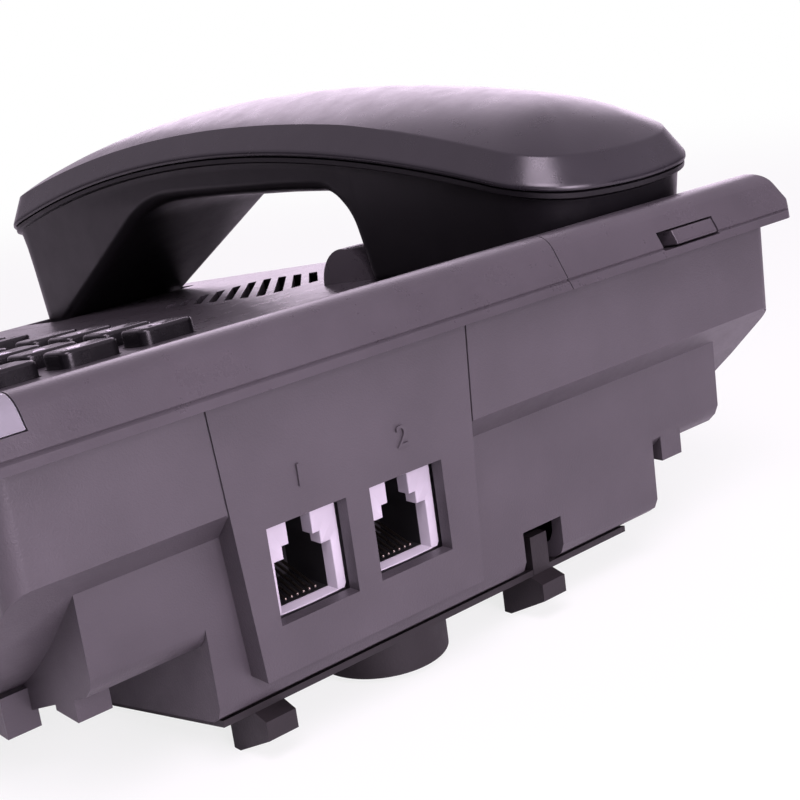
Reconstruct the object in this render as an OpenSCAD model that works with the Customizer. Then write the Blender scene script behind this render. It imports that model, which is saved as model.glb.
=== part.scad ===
// Corded desk telephone: a wedge base with keys, a cradle and rear sockets, and a lift-off handset.
// Axes: +X the user's right, +Y the rear (socket side), +Z up. The origin is under the middle, on the table.

/* [Overall] */
// Width over the cover's lip
overall_w = 154; // [150:1:170]
// Depth over the cover's lip
overall_d = 207; // [200:1:220]
// Height of the deck plane above the table, at mid depth
deck_h = 42.5; // [40:0.5:50]
// Slope of the deck, rising to the rear
deck_tilt = 8; // [6:0.5:10]
// Wall of the moulded shells
wall = 2.2; // [1.8:0.1:2.6]
// Gap between pieces that only meet
seat_gap = 0.15; // [0.1:0.05:0.3]

/* [Cover] */
// Depth of the cover's lip below the deck plane
lip = 4; // [3.6:0.1:5]
// Lean of the cover's flanks, from upright
flank = 22; // [15:1:25]
// Height of the rear ridge above the deck plane
crest_h = 4.65; // [4:0.05:6]
// Radius of the ridge's round top
ridge_r = 3.9; // [3:0.1:4.5]
// Slope of the ridge's front side
ridge_slope = 30; // [25:1:40]
// Height of the bead along the foot of the lip
bead_h = 1.4; // [1:0.1:2]
// Depth of the crease above the bead
bead_crease = 0.3; // [0.2:0.05:0.4]
// Plan radius of the cover's corners
cover_corner_r = 5; // [3:0.5:8]
// Place of the split between the keypad cover and the cradle cover
split_x = -20.5; // [-21:0.1:-20]
// Width of the lamp lens at the rear right corner
lens_w = 10.4; // [9:0.1:12]
// Depth of the lamp lens
lens_d = 13; // [10:0.5:15]

/* [Base tiers] */
// How far the lip stands out beyond the base's rear wall
lip_overhang = 3.5; // [2:0.5:4]
// How far the lip stands out beyond the base's side walls
side_overhang = 4.4; // [3:0.1:5]
// Height of the lower edge of the upper tier, at the rear wall
tier1_z = 38; // [36:0.5:40]
// Radius of the sweep that carries the rear slope into the flat bottom
belly_r = 89; // [80:1:95]
// Height of the flat bottom above the table
bottom_z = 2; // [1.5:0.1:3]
// Step of the lower tiers in from the rear wall
tier_step = 4; // [3:0.5:5]
// Left and right ends of the middle tier
tier2_x = [-60.6, 63];
// Lower edge of the middle tier
tier2_z = 20.5; // [19:0.5:22]
// Slope of the middle tier's underside
tier2_slope = 22; // [20:1:24]
// Left and right ends of the lower tier
tier3_x = [-43, 46];
// Lower edge of the lower tier
tier3_z = 9; // [8:0.5:11]
// Slope of the lower tier's underside
tier3_slope = 11.5; // [10:0.5:13]

/* [Line sockets] */
// Middle of the socket panel
panel_x = 20.7; // [18:0.1:23]
// Half width of the panel at its top and at its foot
panel_hw = [22.1, 19.7];
// Foot of the panel
panel_z = 13.7; // [13:0.1:15]
// Groove round the panel
panel_groove = 0.3; // [0.2:0.05:0.4]
// Width and height of a socket window
window = [13.3, 13.7];
// Distance between the two windows
window_pitch = 17.4; // [16.5:0.1:18]
// Shift of the pair of windows from the panel's middle
window_shift = 0.8; // [0:0.1:1]
// Height of the windows' middle
window_z = 27.4; // [27:0.1:29]
// Depth of the socket bodies
jack_depth = 15; // [13:0.5:16]
// Plug cavity: width, height
plug_cavity = [9.8, 7.2];
// Latch step: width, height
latch_step = [6.2, 2.4];
// Latch slot: width
latch_slot_w = 4; // [3.5:0.1:4.2]
// Depth of the plug cavity
cavity_depth = 12; // [11:0.5:12.5]
// Spacing of the contact wires
contact_pitch = 1.02; // [1:0.01:1.05]

/* [Handset sockets] */
// Width and height of a handset socket window
cord_window = [9.6, 9.4];
// Plug cavity of a handset socket
cord_cavity = [7.7, 6.2];
// Depth of a handset socket's body, and of its cavity
cord_depth = [11, 9.5];
// Height of the base's handset socket
cord_jack_z = 14.5; // [14:0.5:16]

/* [Keys] */
// Dial key cap: width, depth
dial_cap = [10.4, 8.2];
// Middle of the dial pad, across and along the deck
dial_mid = [28, 20];
// Spacing of the dial keys
dial_pitch = [14.4, 14];
// Long key cap: width, depth
long_cap = [11, 5.6];
// Plan radius of a key's corners
cap_r = 1.65; // [1:0.05:2]
// Depth of the finger dish in a key, and its radius
cap_dish = [0.5, 40];
// Distance from the dial pad's middle to the row of function keys
function_row = 42; // [40:0.5:46]
// Distance from the function keys to the row of memory keys
memory_row = 11; // [10:0.5:13]
// Height of a key above the deck
key_rise = 2.8; // [2.4:0.1:3]
// Travel of a key
key_travel = 1.2; // [0.8:0.1:1.4]
// Gap round a key in its hole
key_gap = 0.35; // [0.3:0.05:0.5]

/* [Handset] */
// Width of the handset at its seam
hs_w = 41.4; // [38:0.2:42]
// Middle of the handset across the base
hs_x = -47.2; // [-48:0.1:-46]
// Distance of the handset's ear end and mouth end from the base's two ends
hs_inset = [9.5, -1];
// Radius of the handset's long arch
hs_arch_r = 430; // [400:5:460]
// Radius of the seam between the shells
hs_seam_r = 379; // [360:1:400]
// Height of the crown and of the seam in the handset's frame
hs_top = 21; // [20:0.1:22]
// Height of the seam at mid length
hs_seam_z = 11.4; // [11:0.1:12]
// Drop from the crown to the crease that bounds it
hs_crown = 4.2; // [3.8:0.1:4.6]
// How far the band between crease and seam leans in
hs_band_lean = 3; // [2:0.1:3.4]
// Upright edge of the upper shell by the seam
hs_edge = 0.8; // [0.6:0.1:1.2]
// Radius of the handset's round ends in plan
hs_end_r = 43; // [36:1:60]
// Radius of the handset's corners in plan
hs_corner_r = 10; // [8:0.5:12]
// Step of the lower shell in from the rim under the seam
hs_step = 1.3; // [1:0.1:1.6]
// Height of that rim
hs_rim = 1.2; // [1:0.1:1.5]
// Thickness of the grip at mid length
hs_grip = 18; // [17:0.5:19]
// Radius of the grip's underside where it turns into the ear cup
ear_arch_r = 8; // [7:0.5:9]
// Radius of the grip's underside where it turns into the mouth cup
mouth_arch_r = 40; // [35:1:45]
// Slope of the mouth cup's inner side
mouth_slope = 28; // [26:0.5:29]
// Wall of the handset's shells
hs_wall = 2.2; // [1.8:0.1:2.4]
// Depth of the cradle wells below the deck
well_depth = 2; // [1.5:0.1:2]
// Gap round a cup in its well
well_gap = 0.8; // [0.5:0.1:1]

/* [Loudspeaker grille] */
// Middle of the grille, across and along the deck
grille_at = [-42, -9];
// Width and depth of the grille
grille_size = [30, 46];
// Spacing of the slots
slot_pitch = 3.6; // [3.2:0.1:4]
// Width of a slot
slot_w = 1.9; // [1.5:0.1:2]
// Lean of the slots from the depth axis
slot_lean = 36; // [30:1:40]

/* [Hidden] */
$fn = 48;

black = "#2a282c";
dark = "#1d1c1f";
rubber_black = "#18181a";
socket_white = "#d8d6da";
gold = "#c9a24a";
steel = "#9a9ca0";
board_green = "#2f5a3c";
lens_clear = "#d9dce2";

big = 400;
eps = 0.01;

// Places along the depth axis, in the row frame
wall_y = overall_d / 2 - lip_overhang;
tier_y = wall_y - tier_step;
front_y = -wall_y;
base_hw = overall_w / 2 - side_overhang;

// The cover's ends along the deck, and the ridge's middle
cover_rear = (overall_d / 2 - lip * sin(deck_tilt)) / cos(deck_tilt);
cover_front = -(overall_d / 2 + lip * sin(deck_tilt)) / cos(deck_tilt);
cover_hw = overall_w / 2;
ridge_z = crest_h - ridge_r;
ridge_y = round_mid(cover_rear);
ridge_foot_y = ridge_y - ridge_r * sin(ridge_slope)
  - (ridge_z + ridge_r * cos(ridge_slope)) / tan(ridge_slope);
nose = 4;
nose_drop = 1.2;
skirt_gap = 0.2;
plan_gap = 0.4;
round_lift = 0.05;
skirt = side_overhang + wall + skirt_gap;

// Heights below the deck plane
deck_under = -wall;
well_floor = -well_depth;
well_rest = 0.3;
cup_bottom = well_floor + well_rest;
cap_flange = 1;
flange_lip = 1;
flange_gap = 0.4;
flange_top = deck_under - flange_gap;
flange_bottom = flange_top - cap_flange;
dome_gap = 0.3;
mat_dome = 0.8;
dome_r = [2.6, 2];
mat_thick = 1;
mat_top = flange_bottom - key_travel - mat_dome - dome_gap;
mat_bottom = mat_top - mat_thick;
board_thick = 1.6;
keyboard_top = mat_bottom - seat_gap;

// The handset's own frame stands over the deck, leaning forward by the difference of slopes
hs_lean = -5;
hs_y = 3.9;
hs_z = 17.1;
hs_rear = overall_d / 2 - hs_inset[0];
hs_front = -overall_d / 2 + hs_inset[1];
hs_len = hs_rear - hs_front;
hs_mid = (hs_rear + hs_front) / 2;
hs_bar_z = hs_top - hs_grip;
hs_crease_hw = hs_w / 2 - hs_band_lean;
hs_band = hs_top - hs_crown - hs_seam_z - hs_edge;
hs_end_run = 16;
hs_low_hw = hs_w / 2 - hs_step;
hs_draft = 4.5;
hs_reach = 40;
hs_end_lift = 0.3;
// Rake of the end walls: where it starts, where it ends, how far it goes in
ear_rake = [0, -10, 2.3];
mouth_rake = [-3, -8, 2.6];

// The cups: inner walls and feet along the handset
ear_foot = hs_rear - 51.3;
ear_arch_y = hs_rear - 61;
ear_arch_a = 10;
ear_wall_z = -11;
mouth_foot = hs_front + 19.5;
mouth_arch_y = hs_front + 84.5;
ear_well = [stepped(on_deck(ear_foot, foot_z(ear_foot))),
  stepped(on_deck(hs_rear - hs_step - ear_rake[2] / 2, ear_rake[1] / 2))];
mouth_well = [stepped(on_deck(hs_front + hs_step + mouth_rake[2], foot_z(hs_front))),
  stepped(on_deck(mouth_foot, foot_z(mouth_foot)) - cup_bottom / tan(mouth_slope + hs_lean))];
well_corner_r = 2.5;
ear_mid = (ear_well[0] + ear_well[1]) / 2;
mouth_mid = (mouth_well[0] + mouth_well[1]) / 2 - 1;
ear_hole_ring = 6;
ear_hole_r = 0.9;
mouth_hole_r = 1.2;
hs_screw_y = [hs_rear - 68, hs_front + 92.5];
hs_post_r = 2.8;
hs_jack_z = -9;
receiver_rim = [14.5, 6];
receiver_magnet = [9, 9];
mic_size = [3.6, 4];
weight_hw = 9;
weight_t = 2.8;
weight_gap = 5;

// Screws
screw_x = base_hw - wall - 5;
screw_y = [front_y + 30, wall_y - 70];
post_r = 3;
screw_r = 1.5;
screw_head_r = 2.8;
screw_head_h = 1.6;
screw_gap = 0.2;
screw_grip = 4;
standoff_z = 16;
board_screw = [2.2, 0.9, 7];
key_screw = [2.2, 0.9, 4.5];
shell_screw = [2.1, 1, 6];
shell_seat = [2.3, 1.6];
pan_h = 1.4;

// Sockets
jack_front = wall_y - wall - seat_gap;
jack_gap = 0.2;
jack_x = [for (s = [1, -1]) panel_x + window_shift + s * window_pitch / 2];
contact_r = 0.22;
contact_start = 2.2;
contact_stop = 2.3;
line_rise = 2.2;
cord_rise = 0.9;
cavity_floor = -window[1] / 2 + 0.9;
cord_floor = -cord_window[1] / 2 + 0.8;
cord_step = [4.2, 0.9];
cord_slot_w = 2.6;
cord_nose = 1;
cord_jack_y = front_y + 55;
mainboard_top = window_z - window[1] / 2 + jack_gap - seat_gap;
mainboard_edge = wall + 4;
mainboard_x = [tier3_x[0] + mainboard_edge, tier3_x[1] - mainboard_edge];
mainboard_y = [tier_y - 52, tier_y - wall - 1];
mainboard_holes_x = [mainboard_x[0] + 5, mainboard_x[1] - 5];
mainboard_holes_y = [mainboard_y[0] + 5, mainboard_y[1] - 20];
board_hole_r = 1.3;

// Hook
hook_y = ear_mid - 2;
hook_size = [9, 5];
hook_wing = 4;
hook_wing_t = 2;
hook_gap = 0.3;
hook_foot = -11;
hook_post_x = hook_size[0] / 2 + 5;
switch_h = 6;
switch_hd = 4;
lug_y = 36.2;
lug_r = 7.5;
lug_w = 5;
lug_x = 14.2;

// Loudspeaker, from its rim down to its magnet
speaker_r = 22;
speaker_seat = -lip - 0.4;
speaker_rim = [3, 1.6];
speaker_cone = [10, 5];
speaker_magnet = [15, 8, 13];
speaker_post = speaker_r - 1;
speaker_post_r = 2;
speaker_post_a = 25;

// Ringer slider
slider_x = [-55.8, -45.8];
slider_travel = 3.2;
slider_h = 2.4;
slider_mid = -1.4;
slider_depth = 5;
slider_gap = 0.3;

// Stand adaptor
adaptor_x = [tier3_x[0] + 7, tier3_x[1] - 1];
adaptor_y = [tier_y - 34, tier_y - 1.5];
adaptor_t = 1;
foot_w = 5;
foot_x = [37.5, -16];
foot_y = [tier_y - 8.5, tier_y + 1];
foot_rise = 4;
foot_land = 1.5;
foot_tip = 1.2;
boss_at = [8.6, tier_y - 13];
boss_r = 10.3;
boss_z = 1.2;
boss_bore = [4, 3.2];
notch_x = [-20, -11.6];
notch_z = 16;
clip_hw = 1.8;
clip_t = 1.8;

// Locating nubs under the tiers: place across, place along, drop below the surface they stand on
nub_hw = 2.5;
nub_hd = 3;
nub_rise = 3;
nubs = [
  [tier2_x[1] - 2.5, tier_y - 9, slope_z(tier_y - 9, tier2_z, tier2_slope) - 2],
  [tier3_x[0] - 5.2, tier_y - 3.5, slope_z(tier_y - 3.5, tier2_z, tier2_slope) - 2],
  [tier2_x[1] + 1.6, tier_y - 23, belly_z(tier_y - 23) - 5]];

pad_r = 7;
pad_at = [52, front_y + 14];
pad_sink = 0.6;
pad_gap = 0.1;

KEYS = concat(
  [for (i = [0:11]) [
    ["key_1", "key_2", "key_3", "key_4", "key_5", "key_6", "key_7", "key_8", "key_9",
     "key_star", "key_0", "key_hash"][i],
    dial_mid + [(i % 3 - 1) * dial_pitch[0], (1.5 - floor(i / 3)) * dial_pitch[1]], dial_cap]],
  [for (i = [0:2]) [["key_flash", "key_redial", "key_pause"][i],
    dial_mid + [(i - 1) * dial_pitch[0], -function_row], long_cap]],
  [for (i = [0:2]) [["key_m1", "key_m2", "key_m3"][i],
    dial_mid + [(i - 1) * dial_pitch[0], -function_row - memory_row], long_cap]]);
keyfield_hw = dial_pitch[0] + long_cap[0] / 2 + 3.2;
keyfield_x = [dial_mid[0] - keyfield_hw, dial_mid[0] + keyfield_hw];
keyfield_y = [dial_mid[1] - function_row - memory_row - long_cap[1] / 2 - 4,
  dial_mid[1] + 2 * dial_pitch[1] + 2];
keypost_r = 2.4;
keypost_bore = [1, 3];
keypost_gap = 0.4;
keyboard_edge = 3;
keyposts = [for (x = keyfield_x, y = keyfield_y) [x, y]];

// A length to the nearest twentieth of a millimetre
function stepped(v) = round(v * 20) / 20;
// Points on an arc
function arc(c, r, a0, a1, n) =
  [for (i = [0:n]) c + r * [cos(a0 + (a1 - a0) * i / n), sin(a0 + (a1 - a0) * i / n)]];
// How far a flank has leant in at a height above the lip's foot
function flank_in(h) = h * tan(flank);
// Middle of the round top that ends a flank whose foot is at a given place
function round_mid(foot) =
  foot - ridge_r * cos(flank) - flank_in(crest_h - ridge_r + ridge_r * sin(flank) + lip);
// The bead's crease on a flank whose foot is at a given place, going down
function crease_points(foot, s) = [for (h = [bead_h + bead_crease, bead_h, bead_h - bead_crease])
  [s * (foot - flank_in(h) - (h == bead_h ? bead_crease : 0)), h - lip]];
// Height of the deck plane, and of the seam under the lip, above a place along the depth axis
function deck_z(y) = deck_h + y * tan(deck_tilt);
function seam_z(y) = deck_z(y) - (lip + seat_gap) / cos(deck_tilt);
// Height of a lower tier's sloped underside, and of the upper tier's sweep
function slope_z(y, z0, slope) = z0 - (tier_y - y) * tan(slope);
function belly_mid() = [wall_y - (tier1_z - bottom_z) - belly_r * tan(22.5), bottom_z + belly_r];
function belly_z(y) = belly_mid()[1] - sqrt(pow(belly_r, 2) - pow(y - belly_mid()[0], 2));
// From the handset's frame to a place along the deck, and the height of a cup's foot
function on_deck(y, z) = hs_y + y * cos(hs_lean) - z * sin(hs_lean);
function foot_z(y) = (cup_bottom - hs_z - y * sin(hs_lean)) / cos(hs_lean);
// Height of the handset's crown along its length
function crown_z(y) = hs_top - hs_arch_r + sqrt(pow(hs_arch_r, 2) - pow(y, 2));
// Middle of the adaptor plate's thickness
function plate_mid(y) = slope_z(y, tier3_z, tier3_slope) - seat_gap - adaptor_t / 2;

// Frames and extrusions
module deck() translate([0, 0, deck_h]) rotate([deck_tilt, 0, 0]) children();
module handset_frame() deck() translate([hs_x, hs_y, hs_z]) rotate([hs_lean, 0, 0]) children();
module along_x(x0, x1) translate([x0, 0, 0]) rotate([90, 0, 90]) linear_extrude(x1 - x0) children();
module along_y(y0, y1) translate([0, y1, 0]) rotate([90, 0, 0]) linear_extrude(y1 - y0) children();
module box(low, high) translate(low) cube(high - low);

// Rounded rectangle about the origin
module round_rect(w, d, r) {
  square([w - 2 * r, d], center = true);
  square([w, d - 2 * r], center = true);
  for (x = [-1, 1], y = [-1, 1]) translate([x * (w / 2 - r), y * (d / 2 - r)]) circle(r);
}

// Outer form of the whole upper cover, in the deck frame: side profile, cross profile and plan together
module cover_form() {
  nose_h = lip - nose_drop;
  front = crease_points(-cover_front, -1);
  side = concat(
    [[cover_front, -lip], front[2], front[1], front[0], [cover_front + flank_in(nose_h), -nose_drop],
     [cover_front + nose, 0], [ridge_foot_y, 0]],
    arc([ridge_y, ridge_z], ridge_r, 90 + ridge_slope, flank, 10),
    crease_points(cover_rear, 1), [[cover_rear, -lip]]);
  end_mid = round_mid(cover_hw);
  left = crease_points(cover_hw, -1);
  cross = concat(
    [[-cover_hw, -lip], left[2], left[1], left[0]],
    arc([-end_mid, ridge_z + round_lift], ridge_r, 180 - flank, 90, 6),
    arc([end_mid, ridge_z + round_lift], ridge_r, 90, flank, 6),
    crease_points(cover_hw, 1), [[cover_hw, -lip]]);
  intersection() {
    along_x(-cover_hw, cover_hw) polygon(side);
    along_y(cover_front, cover_rear) polygon(cross);
    translate([0, (cover_front + cover_rear) / 2, -big / 2]) linear_extrude(big)
      round_rect(overall_w + plan_gap, cover_rear - cover_front + plan_gap, cover_corner_r);
  }
}

// Hollow under the deck plate, inside the skirt
module cover_hollow(x0, x1) {
  box([x0, cover_front + skirt, -lip - 1], [x1, cover_rear - skirt, deck_under]);
}

// Post that takes a housing screw, from the standoff up into the deck plate
module cover_post(x, y) {
  post_top = deck_z(y) - wall / 2;
  translate([x, y, standoff_z + seat_gap]) difference() {
    cylinder(r = post_r, h = post_top - standoff_z - seat_gap);
    translate([0, 0, -1]) cylinder(r = screw_r + seat_gap, h = 2 * screw_grip + 1);
  }
}

// Space of the lamp lens, in the deck frame
module lens_space(gap) {
  box([cover_hw - lens_w + gap, cover_rear - lens_d + gap, gap], [overall_w, cover_rear + lip, 2 * crest_h]);
}

module keypad_cover() color(black) {
  deck() difference() {
    intersection() {
      cover_form();
      box([split_x + seat_gap / 2, -big, -big], [big, big, big]);
    }
    cover_hollow(split_x + wall, cover_hw - skirt);
    lens_space(0);
    for (k = KEYS) translate([k[1][0], k[1][1], -lip]) linear_extrude(lip + 1)
      round_rect(k[2][0] + 2 * key_gap, k[2][1] + 2 * key_gap, cap_r + key_gap);
  }
  deck() for (p = keyposts) translate([p[0], p[1], keyboard_top + seat_gap]) difference() {
    cylinder(r = keypost_r, h = deck_under - keyboard_top - seat_gap + eps);
    translate([0, 0, -1]) cylinder(r = keypost_bore[0], h = keypost_bore[1] + 1);
  }
  for (y = screw_y) cover_post(screw_x, y);
}

// Plan of a handset cup where it stands in its well
module cup_plan(cup, grow) translate([hs_x, (cup[0] + cup[1]) / 2])
  round_rect(2 * (hs_low_hw + grow), cup[1] - cup[0] + 2 * grow, well_corner_r);
module each_well(z0, z1, grow) for (cup = [ear_well, mouth_well])
  translate([0, 0, z0]) linear_extrude(z1 - z0) cup_plan(cup, grow);

module cradle_cover() color(black) {
  deck() {
    difference() {
      union() {
        intersection() {
          cover_form();
          box([-big, -big, -big], [split_x - seat_gap / 2, big, big]);
        }
        for (s = [-1, 1]) translate([hs_x + s * lug_x - lug_w / 2, lug_y, -wall / 2]) rotate([0, 90, 0])
          intersection() {
            cylinder(r = lug_r, h = lug_w);
            box([-lug_r - 1, -lug_r, 0], [0, lug_r, lug_w]);
          }
      }
      difference() {
        cover_hollow(-cover_hw + skirt, split_x - wall);
        each_well(well_floor - wall, wall, well_gap + wall);
      }
      each_well(well_floor, 2 * crest_h, well_gap);
      translate([grille_at[0], grille_at[1], -lip]) linear_extrude(2 * lip) grille_slots();
      translate([hs_x, hook_y, -2 * lip]) linear_extrude(2 * lip)
        square(hook_size + 2 * hook_gap * [1, 1], center = true);
      slider_space(slider_gap, slider_travel);
    }
    for (s = [-1, 1]) translate([hs_x + s * hook_post_x, hook_y, hook_foot - hook_gap])
      cylinder(r = post_r - 1, h = well_floor - wall / 2 - hook_foot + hook_gap);
    for (s = [0, 180], a = [-speaker_post_a, speaker_post_a])
      translate([grille_at[0], grille_at[1], speaker_seat]) rotate(s + a) translate([speaker_post, 0, 0])
        cylinder(r = speaker_post_r, h = deck_under - speaker_seat + eps);
  }
  for (y = screw_y) cover_post(-screw_x, y);
}

// Slots of the grille: parallel, leaning, cut off by a rounded rectangle
module grille_slots() intersection() {
  round_rect(grille_size[0], grille_size[1], 4);
  reach = norm(grille_size);
  count = ceil(reach / slot_pitch / 2);
  rotate(-slot_lean) for (i = [-count:count])
    translate([i * slot_pitch, 0]) square([slot_w, reach], center = true);
}

// Pocket of the ringer slider in the rear flank, and the slider that runs in it
module slider_space(gap, travel) box(
  [slider_x[0] - gap, cover_rear - slider_depth - gap, slider_mid - slider_h / 2 - gap],
  [slider_x[1] + gap + travel, cover_rear + slider_depth, slider_mid + slider_h / 2 + gap]);
module ringer_slider() color(dark) deck() intersection() {
  cover_form();
  slider_space(0, 0);
}

module lamp_lens() color(lens_clear) deck() intersection() {
  cover_form();
  lens_space(seat_gap);
}

// Side profiles of the base, in the row frame
module tier1_side(t) polygon(concat(
  [[wall_y - t, seam_z(wall_y - t)], [wall_y - t, tier1_z + t * tan(22.5)]],
  arc(belly_mid(), belly_r - t, -45, -90, 12),
  [[front_y + t + 7, bottom_z + t], [front_y + t + 1, bottom_z + t + 4], [front_y + t, bottom_z + t + 10],
   [front_y + t, seam_z(front_y + t)]]));
module tier_side(z0, slope, t) {
  y0 = tier_y - t;
  foot = z0 + t / cos(slope) - t * tan(slope);
  edge = 2.2;
  polygon([[y0, tier1_z + wall], [y0, foot + edge], [y0 - edge / 3, foot + edge / 4],
    [y0 - edge, foot - edge * tan(slope)], [y0 - (foot - bottom_z - t) / tan(slope), bottom_z + t],
    [20, bottom_z + t], [20, tier1_z - 18], [y0 - 12, tier1_z + wall]]);
}
module panel_face(grow) polygon([
  [panel_x - panel_hw[0] - grow, seam_z(wall_y)], [panel_x + panel_hw[0] + grow, seam_z(wall_y)],
  [panel_x + panel_hw[1] + grow, panel_z - grow], [panel_x - panel_hw[1] - grow, panel_z - grow]]);

// Standoff for a housing screw, with its sunk head seen from below
module standoff(x, y) translate([x, y, bottom_z + wall / 2])
  cylinder(r = post_r + screw_gap, h = standoff_z - bottom_z - wall / 2);
module screw_bore(x, y) translate([x, y, bottom_z - 1]) {
  cylinder(r = screw_r + screw_gap, h = standoff_z);
  cylinder(r = screw_head_r + screw_gap, h = screw_head_h + wall);
}

module lower_housing() color(black) difference() {
  union() {
    difference() {
      union() {
        difference() {
          intersection() {
            along_x(-base_hw, base_hw) tier1_side(0);
            translate([0, 0, -1]) linear_extrude(big) round_rect(2 * base_hw, wall_y - front_y, 3);
          }
          along_y(wall_y - panel_groove, wall_y + 1) panel_face(panel_groove);
        }
        along_x(tier2_x[0], tier2_x[1]) tier_side(tier2_z, tier2_slope, 0);
        along_x(tier3_x[0], tier3_x[1]) tier_side(tier3_z, tier3_slope, 0);
        panel_block();
        for (n = nubs)
          box([n[0] - nub_hw, n[1] - nub_hd, n[2]], [n[0] + nub_hw, n[1] + nub_hd, n[2] + 2 * nub_rise]);
      }
      along_x(-base_hw + wall, base_hw - wall) tier1_side(wall);
      along_x(tier2_x[0] + wall, tier2_x[1] - wall) tier_side(tier2_z, tier2_slope, wall);
      along_x(tier3_x[0] + wall, tier3_x[1] - wall) tier_side(tier3_z, tier3_slope, wall);
    }
    for (x = [-screw_x, screw_x], y = screw_y) standoff(x, y);
    for (x = mainboard_holes_x, y = mainboard_holes_y) {
      low = max(slope_z(y, tier3_z, tier3_slope), bottom_z) + wall / 2;
      translate([x, y, low]) cylinder(r = post_r, h = mainboard_top - board_thick - seat_gap - low);
    }
    cord_jack_seat();
  }
  for (x = [-screw_x, screw_x], y = screw_y) screw_bore(x, y);
  for (x = mainboard_holes_x, y = mainboard_holes_y)
    translate([x, y, mainboard_top - board_thick - board_screw[2] - 1])
      cylinder(r = board_screw[1] + seat_gap, h = board_screw[2] + 2);
  for (x = jack_x) along_y(tier_y - wall - 1, wall_y + 1) translate([x, window_z])
    square(window, center = true);
  along_x(-base_hw - 1, -base_hw + wall + 1) translate([cord_jack_y, cord_jack_z])
    square(cord_window, center = true);
  along_y(tier_y - wall - 2, tier_y + 1) polygon([[notch_x[0], -1], [notch_x[0], notch_z],
    [notch_x[1], notch_z], [notch_x[1], -1]]);
  for (s = [-1, 1]) translate([s * pad_at[0], pad_at[1], bottom_z - 1])
    cylinder(r = pad_r + pad_gap, h = 1 + pad_sink);
}

// Block that carries the socket panel flush with the upper tier, open behind
module panel_block() difference() {
  back = tier_y - 6;
  foot_z = panel_z + wall * 0.7;
  intersection() {
    along_y(back, wall_y) panel_face(0);
    along_x(-big, big) polygon([[wall_y, seam_z(wall_y)], [wall_y, panel_z], [wall_y - 1.2, panel_z - 1],
      [back, tier3_z], [back, seam_z(back)]]);
  }
  along_y(-big, wall_y - wall) polygon([
    [panel_x - panel_hw[0] + wall, big], [panel_x + panel_hw[0] - wall, big],
    [panel_x + panel_hw[1] - wall, foot_z], [panel_x - panel_hw[1] + wall, foot_z]]);
}

// A moulded socket for a flat plug: its face looks along +Y, its middle is at the origin
module socket_body(face, depth, cavity, step, slot_w, floor_z) difference() {
  along_y(-depth[0], 0) square(face - 2 * jack_gap * [1, 1], center = true);
  along_y(-depth[1], 1) union() {
    translate([-cavity[0] / 2, floor_z]) square(cavity);
    translate([-step[0] / 2, floor_z]) square([step[0], cavity[1] + step[1]]);
    translate([-slot_w / 2, floor_z]) square([slot_w, cavity[1] + 2 * step[1] - 0.5]);
  }
}
// Contact wires: each starts near the mouth and climbs towards the back, side by side
module contact_set(n, depth, floor_z, rise) for (i = [0:n - 1])
  translate([(i - (n - 1) / 2) * contact_pitch, -contact_start, floor_z + contact_r + seat_gap]) {
    run = depth - contact_start - contact_stop;
    sphere(r = contact_r, $fn = 16);
    rotate([90 - atan(rise / run), 0, 0]) cylinder(r = contact_r, h = norm([run, rise]), $fn = 16);
  }

module line_jack(i) color(socket_white) translate([jack_x[i], jack_front, window_z])
  socket_body(window, [jack_depth, cavity_depth], plug_cavity, latch_step, latch_slot_w, cavity_floor);
module line_contacts(i) color(gold) translate([jack_x[i], jack_front, window_z])
  contact_set(6, cavity_depth, cavity_floor, line_rise);
module cord_socket() socket_body(cord_window, cord_depth, cord_cavity, cord_step, cord_slot_w, cord_floor);
module cord_wires() contact_set(4, cord_depth[1], cord_floor, cord_rise);
module in_left_wall() translate([-base_hw + wall + seat_gap - cord_nose, cord_jack_y, cord_jack_z])
  rotate([0, 0, 90]) children();
module cord_jack() color(dark) in_left_wall() cord_socket();
module cord_contacts() color(gold) in_left_wall() cord_wires();
module cord_jack_seat() {
  x0 = -base_hw + wall;
  box([x0 - wall / 4, cord_jack_y - cord_window[0] / 2, bottom_z + wall / 2],
    [x0 + cord_depth[0], cord_jack_y + cord_window[0] / 2,
     cord_jack_z - cord_window[1] / 2 + jack_gap - seat_gap]);
}

module main_board() color(board_green) difference() {
  box([mainboard_x[0], mainboard_y[0], mainboard_top - board_thick],
    [mainboard_x[1], mainboard_y[1], mainboard_top]);
  for (x = mainboard_holes_x, y = mainboard_holes_y) translate([x, y, 0]) cylinder(r = board_hole_r, h = big);
}
module key_board() color(board_green) deck() difference() {
  box([keyfield_x[0] - keyboard_edge, keyfield_y[0] - keyboard_edge, keyboard_top - board_thick],
    [keyfield_x[1] + keyboard_edge, keyfield_y[1] + keyboard_edge, keyboard_top]);
  for (p = keyposts) translate([p[0], p[1], -big / 2]) cylinder(r = board_hole_r, h = big);
}
module key_mat() color(rubber_black) deck() difference() {
  union() {
    box([keyfield_x[0], keyfield_y[0], mat_bottom], [keyfield_x[1], keyfield_y[1], mat_top]);
    for (k = KEYS) translate([k[1][0], k[1][1], mat_top - eps])
      cylinder(r1 = dome_r[0], r2 = dome_r[1], h = mat_dome);
  }
  for (p = keyposts) translate([p[0], p[1], mat_bottom - 1])
    cylinder(r = keypost_r + keypost_gap, h = mat_thick + 2);
}
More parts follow.
